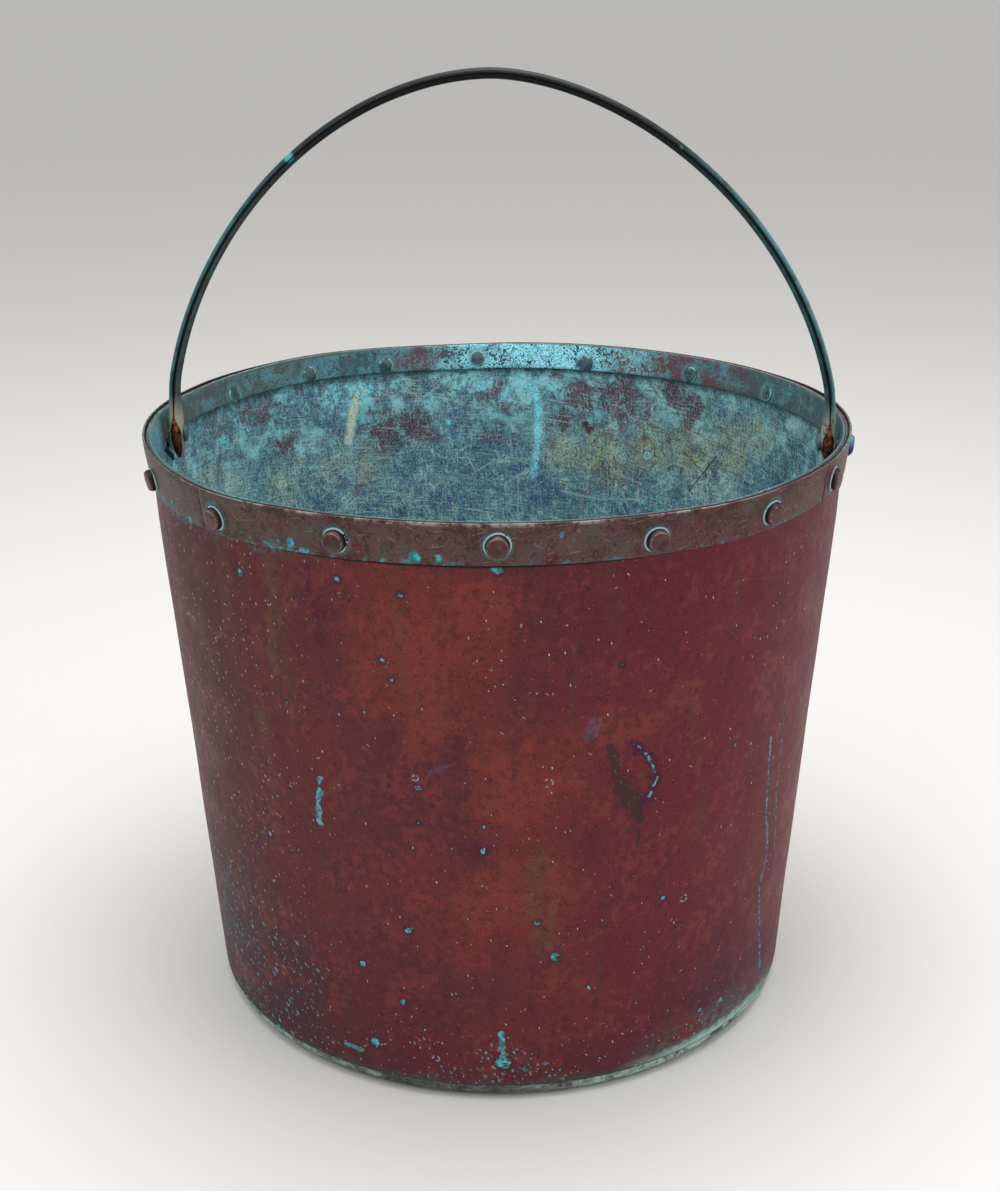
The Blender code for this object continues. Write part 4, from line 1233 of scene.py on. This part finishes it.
def makePivots():
    head = earFace + bucket["gap"] + bucket["band"] + rivet["headGap"]
    tail = eyeX - bail["leafThick"] - rivet["headGap"]
    slope = (onSkin(90, pivotHeight + 0.002).x - onSkin(90, pivotHeight - 0.002).x) / 0.004
    for turned, piece, name in (
        (0, "pivotRivetRight", "pivot_rivet_right"),
        (math.pi, "pivotRivetLeft", "pivot_rivet_left"),
    ):
        points = [
            (0, head + pivot["headHeight"]),
            (pivot["faceRadius"], head + pivot["headHeight"] - 0.0001),
            (pivot["headRadius"], head + pivot["headHeight"] * 0.55),
            (pivot["headRadius"], head),
            (pivot["shankRadius"], head),
            (pivot["shankRadius"], tail),
            (pivot["tailRadius"], tail),
            (pivot["tailRadius"], tail - pivot["tailHeight"] * 0.45),
            (pivot["tailRadius"] * 0.7, tail - pivot["tailHeight"]),
            (0, tail - pivot["tailHeight"]),
        ]
        bevels = [
            (head + 0.0034, head + 0.005, pivot["faceRadius"], 0.0004),
            (head + 0.001, head + 0.003, pivot["headRadius"], 0.0004),
        ]
        mesh = turnProfile(points, bevels, rivet["sides"])
        layer = mesh.verts.layers.float_vector.new("own")
        for vert in mesh.verts:
            vert[layer] = vert.co - Vector((0, 0, head - rivet["headGap"]))
            if vert.co.z > head - 0.0001:
                vert.co.z -= slope * vert.co.x
        turn = Matrix.Rotation(turned, 4, "Z") @ Matrix.Rotation(math.pi / 2, 4, "Y")
        mesh.transform(Matrix.Translation((0, 0, pivotHeight)) @ turn)
        makePiece(piece, mesh, [rivetCopper], "bucket", [name], 40)


makePivots()


def archTurn(rise):
    return math.asin((rise / bail["rise"]) ** (bail["fullness"] / 2))


def archPoint(turn):
    across = math.copysign(abs(math.cos(turn)) ** (2 / bail["fullness"]), -math.cos(turn))
    above = abs(math.sin(turn)) ** (2 / bail["fullness"])
    settled = bail["set"] * 1.5 * math.sqrt(3) * across * (1 - across * across)
    spread = bail["spread"] * between(above * bail["rise"], 0, bail["spreadHeight"])
    return Vector((across * (eyeX + spread), 0, above * bail["rise"] - settled))


def archStation(turn, rise, leg):
    along = (archPoint(turn + 0.001) - archPoint(turn - 0.001)).normalized()
    return archPoint(turn), Vector((-along.z, 0, along.x)), rise, leg


def legStations(side, leg):
    stations = []
    for step in range(bail["legSteps"] + 1):
        rise = -leg[0] + (leg[0] + bail["leafFade"]) * step / bail["legSteps"]
        if rise <= 0:
            stations.append((Vector((side * eyeX, 0, rise)), Vector((side, 0, 0)), rise, leg))
        else:
            turn = archTurn(rise)
            stations.append(archStation(math.pi - turn if side > 0 else turn, rise, leg))
    return stations


def bailLine():
    # stations from tip to tip, from the left: point, way out, height over the pivots, and leg
    left = (bail["leftTip"], bail["leftLoose"])
    right = (bail["rightTip"], 0.0)
    first = archTurn(bail["leafFade"])
    over = []
    for step in range(1, bail["steps"]):
        turn = first + (math.pi - 2 * first) * step / bail["steps"]
        over.append(archStation(turn, archPoint(turn).z, left if turn < math.pi / 2 else right))
    return legStations(-1, left) + over + legStations(1, right)[::-1]


def swell(rise, fade):
    return 1 if rise <= 0 else 0.5 + 0.5 * math.cos(math.pi * min(1, rise / fade))


def leafSize(rise, leg):
    tip, loose = leg
    rod = bail["radius"] + loose * swell(rise, bail["looseHeight"])
    thick = rod + (bail["leafThick"] - rod) * swell(rise, bail["leafFade"])
    wide = rod + (bail["leafWidth"] - rod) * swell(rise, bail["leafFade"])
    if rise < 0:
        down = -rise / tip
        thick = bail["leafThick"] * (1 - bail["tipThinning"] * down ** bail["tipThinningPower"])
        wide = bail["leafWidth"] * (1 - bail["tipNarrowing"] * down ** bail["tipNarrowingPower"])
    return thick, wide


def sheathRing(station, number):
    # each place, and for the paint how far outwards, how far back and how high over the pivot it is
    point, out, rise, leg = station
    thick, wide = leafSize(rise, leg)
    plain = math.asin(bail["slit"] / 2 / bail["radius"])
    wander = noise.noise(Vector((number * 0.045, 0, 3))) * 0.035
    leaf = swell(rise, bail["openHeight"])
    opened = plain + (math.radians(bail["leafOpening"]) - plain) * leaf
    opened *= 1 + (0.05 + 0.22 * leaf) * noise.noise(Vector((number * 0.11, 5, 0)))
    span = math.pi - opened
    outer = []
    inner = []
    for step in range(bail["sides"] + 1):
        turn = -span + 2 * span * step / bail["sides"] + wander
        dent = 1 + 0.012 * noise.noise(Vector((number * 0.08, turn, 1)))
        across = out * math.sin(turn)
        back = Vector((0, math.cos(turn), 0))
        own = Vector((math.sin(turn), math.cos(turn), rise))
        outer.append((point + across * thick * dent + back * wide * dent, own))
        inner.append((point + across * (thick - bail["sheet"]) + back * (wide - bail["sheet"]), own))
    return outer + inner[::-1]


def coreRing(station, number):
    point, out, rise, leg = station
    thick, wide = leafSize(rise, leg)
    cover = bail["sheet"] + bucket["gap"]
    halfThick = min(thick - cover, bail["coreThick"])
    halfWide = wide - cover
    ring = []
    for step in range(bail["sides"]):
        turn = math.tau * step / bail["sides"]
        rust = noise.noise(Vector((number * 0.22, math.sin(turn) * 1.6, math.cos(turn) * 1.6)))
        eaten = 1 - 0.12 * abs(rust) * swell(rise, bail["leafFade"])
        across = out * math.sin(turn) * halfThick * eaten
        back = Vector((0, math.cos(turn) * halfWide * eaten, 0))
        ring.append((point + across + back, Vector((math.sin(turn), math.cos(turn), rise))))
    return ring


def sweepRings(mesh, rings):
    # extrudes the first ring through the others, and closes both ends
    layer = mesh.verts.layers.float_vector.new("own")
    verts = [mesh.verts.new(place) for place, own in rings[0]]
    mesh.faces.new(verts)
    edges = [mesh.edges.get(pair) or mesh.edges.new(pair) for pair in zip(verts, verts[1:] + verts[:1])]
    for vert, (place, own) in zip(verts, rings[0]):
        vert[layer] = own
    for ring in rings[1:]:
        made = bmesh.ops.extrude_edge_only(mesh, edges=edges)["geom"]
        fresh = {vert for vert in made if isinstance(vert, bmesh.types.BMVert)}
        following = []
        for vert, (place, own) in zip(verts, ring):
            partner = next(e.other_vert(vert) for e in vert.link_edges if e.other_vert(vert) in fresh)
            partner.co = place
            partner[layer] = own
            following.append(partner)
        verts = following
        edges = [mesh.edges.get(pair) for pair in zip(verts, verts[1:] + verts[:1])]
    mesh.faces.new(verts)
    bmesh.ops.recalc_face_normals(mesh, faces=mesh.faces)


def paintBailSheath():
    p = Paint("bailCopper")
    outwards, back = p.parts(p.ownPlace())[:2]
    middle = p.cloud(0.018, 3.0, 0.6, 0.3)
    sway = middle - 0.5
    fine = p.cloud(0.0032, 3.0, 0.65)
    jag = fine - 0.5
    grain = p.cloud(0.0010, 1.0, 0.5)
    up = p.z - pivotHeight
    high = p.smooth(up + sway * 0.09, 0.110, 0.180)
    p.coat = p.blend(p.smooth(middle, 0.38, 0.60), (0.016, 0.085, 0.098), (0.040, 0.165, 0.165))

    # the inner lip of the left leg is beige brown; the outer side of the right leg takes a painted light blue
    # highlight
    leftLeg = p.x < 0.0
    lip = p.smooth(outwards + jag * 0.6, 0.05, -0.20) * p.smooth(back, 0.3, -0.2)
    p.lay(lip * (leftLeg * 0.6 + 0.20) * p.smooth(fine, 0.36, 0.50), (0.100, 0.080, 0.062))
    # painted highlight on the outer side of the right half of the bail
    outer = p.smooth(outwards + jag * 0.5, 0.55, 0.85) * (p.x > 0.0)
    p.lay(outer * 0.6, (0.170, 0.300, 0.330))
    brown = p.smooth(p.cloud(0.012, 3.0, 0.6, 0.2, p.stretched((1, 1, 0.25), 1.0)), 0.54, 0.66)
    p.lay(brown * 0.6, (0.070, 0.046, 0.036))
    p.lay(high * 0.94, (0.012, 0.010, 0.010))
    p.lay(high * p.smooth(fine, 0.54, 0.66) * 0.4, (0.036, 0.022, 0.018))
    p.lay(p.smooth(fine, 0.52, 0.70) * 0.45, (0.008, 0.022, 0.026))
    seam = p.smooth(back + jag * 0.05, -0.90, -0.97)
    p.lay(seam * 0.85, (0.008, 0.006, 0.006))

    # leaves: pale at the lips, rusty brown lower down
    low = p.smooth(up, 0.026, 0.006)
    lips = low * p.smooth(back, 0.3, -0.3) * p.smooth(fine + middle, 0.76, 0.98)
    p.lay(low * 0.5, (0.060, 0.080, 0.068))
    p.lay(lips * 0.85, (0.360, 0.350, 0.250))
    tip = p.smooth(up, -0.0070, -0.0115)
    p.lay(tip * p.smooth(fine, 0.34, 0.52) * 0.8, (0.260, 0.190, 0.130))
    cyanSpot = p.smooth(p.fromPoint((-0.113, -0.003, 0.4815)), 0.0040, 0.0015)
    bright = (p.dots(0.014, 0.25, 0.14) * p.smooth(fine, 0.42, 0.54) * (1 - high * 0.7)) | cyanSpot
    p.lay(bright * 0.9, (0.060, 0.330, 0.340))
    metallic = p.smooth(bright | low | lip * 0.5, 0.0, 1.0, 0.40, 0.05)
    roughness = 0.42 + sway * 0.2 + low * 0.25 + bright * 0.2
    return p.finish(metallic, roughness, fine * 0.40 + grain * 0.15 + middle * 0.25, 0.0003, 0.5)


def paintBailIron():
    p = Paint("bailIron")
    broad = p.cloud(0.0042, 3.0, 0.65, 0.5)
    fine = p.cloud(0.0018, 3.0, 0.7)
    jag = fine - 0.5
    up = p.z - pivotHeight
    rusty = p.smooth(up + (broad - 0.5) * 0.012, 0.016, 0.010)
    rust = p.blend(p.smooth(broad, 0.38, 0.58), (0.070, 0.016, 0.012), (0.400, 0.115, 0.032))
    rust = p.blend(p.smooth(fine, 0.50, 0.64) * 0.75, rust, (0.040, 0.010, 0.008))
    rust = p.blend(p.smooth(fine, 0.42, 0.30) * 0.5, rust, (0.520, 0.220, 0.085))
    blots = p.cloud(0.0030, 2.0, 0.6, 0.4, p.stretched((1, 1, 1), 4.4))
    rust = p.blend(p.smooth(blots, 0.48, 0.58) * 0.8, rust, (0.060, 0.010, 0.012))
    p.coat = p.blend(rusty, (0.012, 0.008, 0.007), rust)
    pit = p.smooth(up + jag * 0.005, -0.0030, -0.0060) * (p.x < 0.0) * p.smooth(broad, 0.46, 0.54)
    cracks = p.smooth(abs(broad - 0.5), 0.016, 0.004) | pit
    p.lay(cracks * 0.9, (0.010, 0.004, 0.004))
    return p.finish(0.0, 0.88, broad * 0.7 + fine * 0.6, 0.0009, 0.9)


bailCopper = paintBailSheath()
bailIron = paintBailIron()


def eyeCutter():
    mesh = bmesh.new()
    radius = pivot["shankRadius"] + bail["eyeGap"]
    for side in (1, -1):
        turn = Matrix.Translation((side * eyeX, 0, pivotHeight)) @ Matrix.Rotation(math.pi / 2, 4, "Y")
        bmesh.ops.create_cone(
            mesh,
            cap_ends=True,
            segments=bail["eyeSides"],
            radius1=radius,
            radius2=radius,
            depth=bail["eyeReach"],
            matrix=turn,
        )
    return cutterFrom(mesh, "eyeHoles")


def makeBail():
    stations = bailLine()
    lift = Matrix.Translation((0, 0, pivotHeight))
    sheath = bmesh.new()
    sweepRings(sheath, [sheathRing(station, number) for number, station in enumerate(stations)])
    sheath.transform(lift)
    wrap = makePiece("bailSheath", sheath, [bailCopper], "bail", ["bail_sheath"], 50)
    cutAway(wrap, eyeCutter())
    core = bmesh.new()
    kept = [station for station in stations if station[2] > -station[3][0] * 0.8]
    sweepRings(core, [coreRing(station, number) for number, station in enumerate(kept)])
    core.transform(lift)
    rod = makePiece("bailCore", core, [bailIron], "bail", ["bail_core"], 50)
    cutAway(rod, eyeCutter())


makeBail()
print("bail is hung")


# Floor, light and camera

studio = {
    "floorColour": (0.66, 0.65, 0.63),
    "sky": 0.72,
    "backdrop": (0.488, 0.482, 0.468, 1),
    "lamps": [
        {"at": (-1.4, -1.5, 2.1), "aim": (0, 0, 0.20), "size": 1.8, "power": 15},
        {"at": (1.7, -0.9, 1.5), "aim": (0, 0, 0.20), "size": 1.6, "power": 9},
        {"at": (0.05, 0.05, 1.7), "aim": (0, 0.05, 0.20), "size": 1.1, "power": 24},
    ],
}
view = {"at": (0.0904, -0.9390, 0.5816), "down": 20.518, "turn": 5.444, "roll": -0.4246, "lens": 51.39}


def makeStudio():
    mesh = bmesh.new()
    bmesh.ops.create_grid(mesh, x_segments=2, y_segments=2, size=40)
    data = meshData(mesh, "floor")
    floor = linked("floor", data)
    p = Paint("floorPlain")
    p.coat = studio["floorColour"]
    data.materials.append(p.finish(0.0, 0.9))

    scene = bpy.context.scene
    scene.view_settings.view_transform = "Standard"
    world = bpy.data.worlds.new("sky")
    scene.world = world
    world.use_nodes = True
    tree = world.node_tree
    tree.nodes.clear()
    glow = addNode(tree, "ShaderNodeBackground", {}, {0: (1, 1, 1, 1), 1: studio["sky"]}).outputs[0]
    seen = addNode(tree, "ShaderNodeBackground", {}, {0: studio["backdrop"]}).outputs[0]
    isSeen = addNode(tree, "ShaderNodeLightPath").outputs["Is Camera Ray"]
    either = addNode(tree, "ShaderNodeMixShader", {}, {0: isSeen, 1: glow, 2: seen})
    addNode(tree, "ShaderNodeOutputWorld", {}, {0: either.outputs[0]})

    for number, lamp in enumerate(studio["lamps"]):
        light = bpy.data.lights.new(f"lamp{number}", "AREA")
        light.size = lamp["size"]
        light.energy = lamp["power"]
        holder = linked(f"lamp{number}", light)
        at = Vector(lamp["at"])
        aim = (Vector(lamp["aim"]) - at).to_track_quat("-Z", "Y").to_matrix().to_4x4()
        holder.matrix_world = Matrix.Translation(at) @ aim

    eye = bpy.data.cameras.new("view")
    eye.lens = view["lens"]
    eye.clip_end = 200
    camera = linked("view", eye)
    turn = Matrix.Rotation(math.radians(view["turn"]), 4, "Z")
    tip = Matrix.Rotation(math.radians(90 - view["down"]), 4, "X")
    roll = Matrix.Rotation(math.radians(view["roll"]), 4, "Z")
    camera.matrix_world = Matrix.Translation(view["at"]) @ turn @ tip @ roll
    scene.camera = camera


makeStudio()
print("studio is lit")
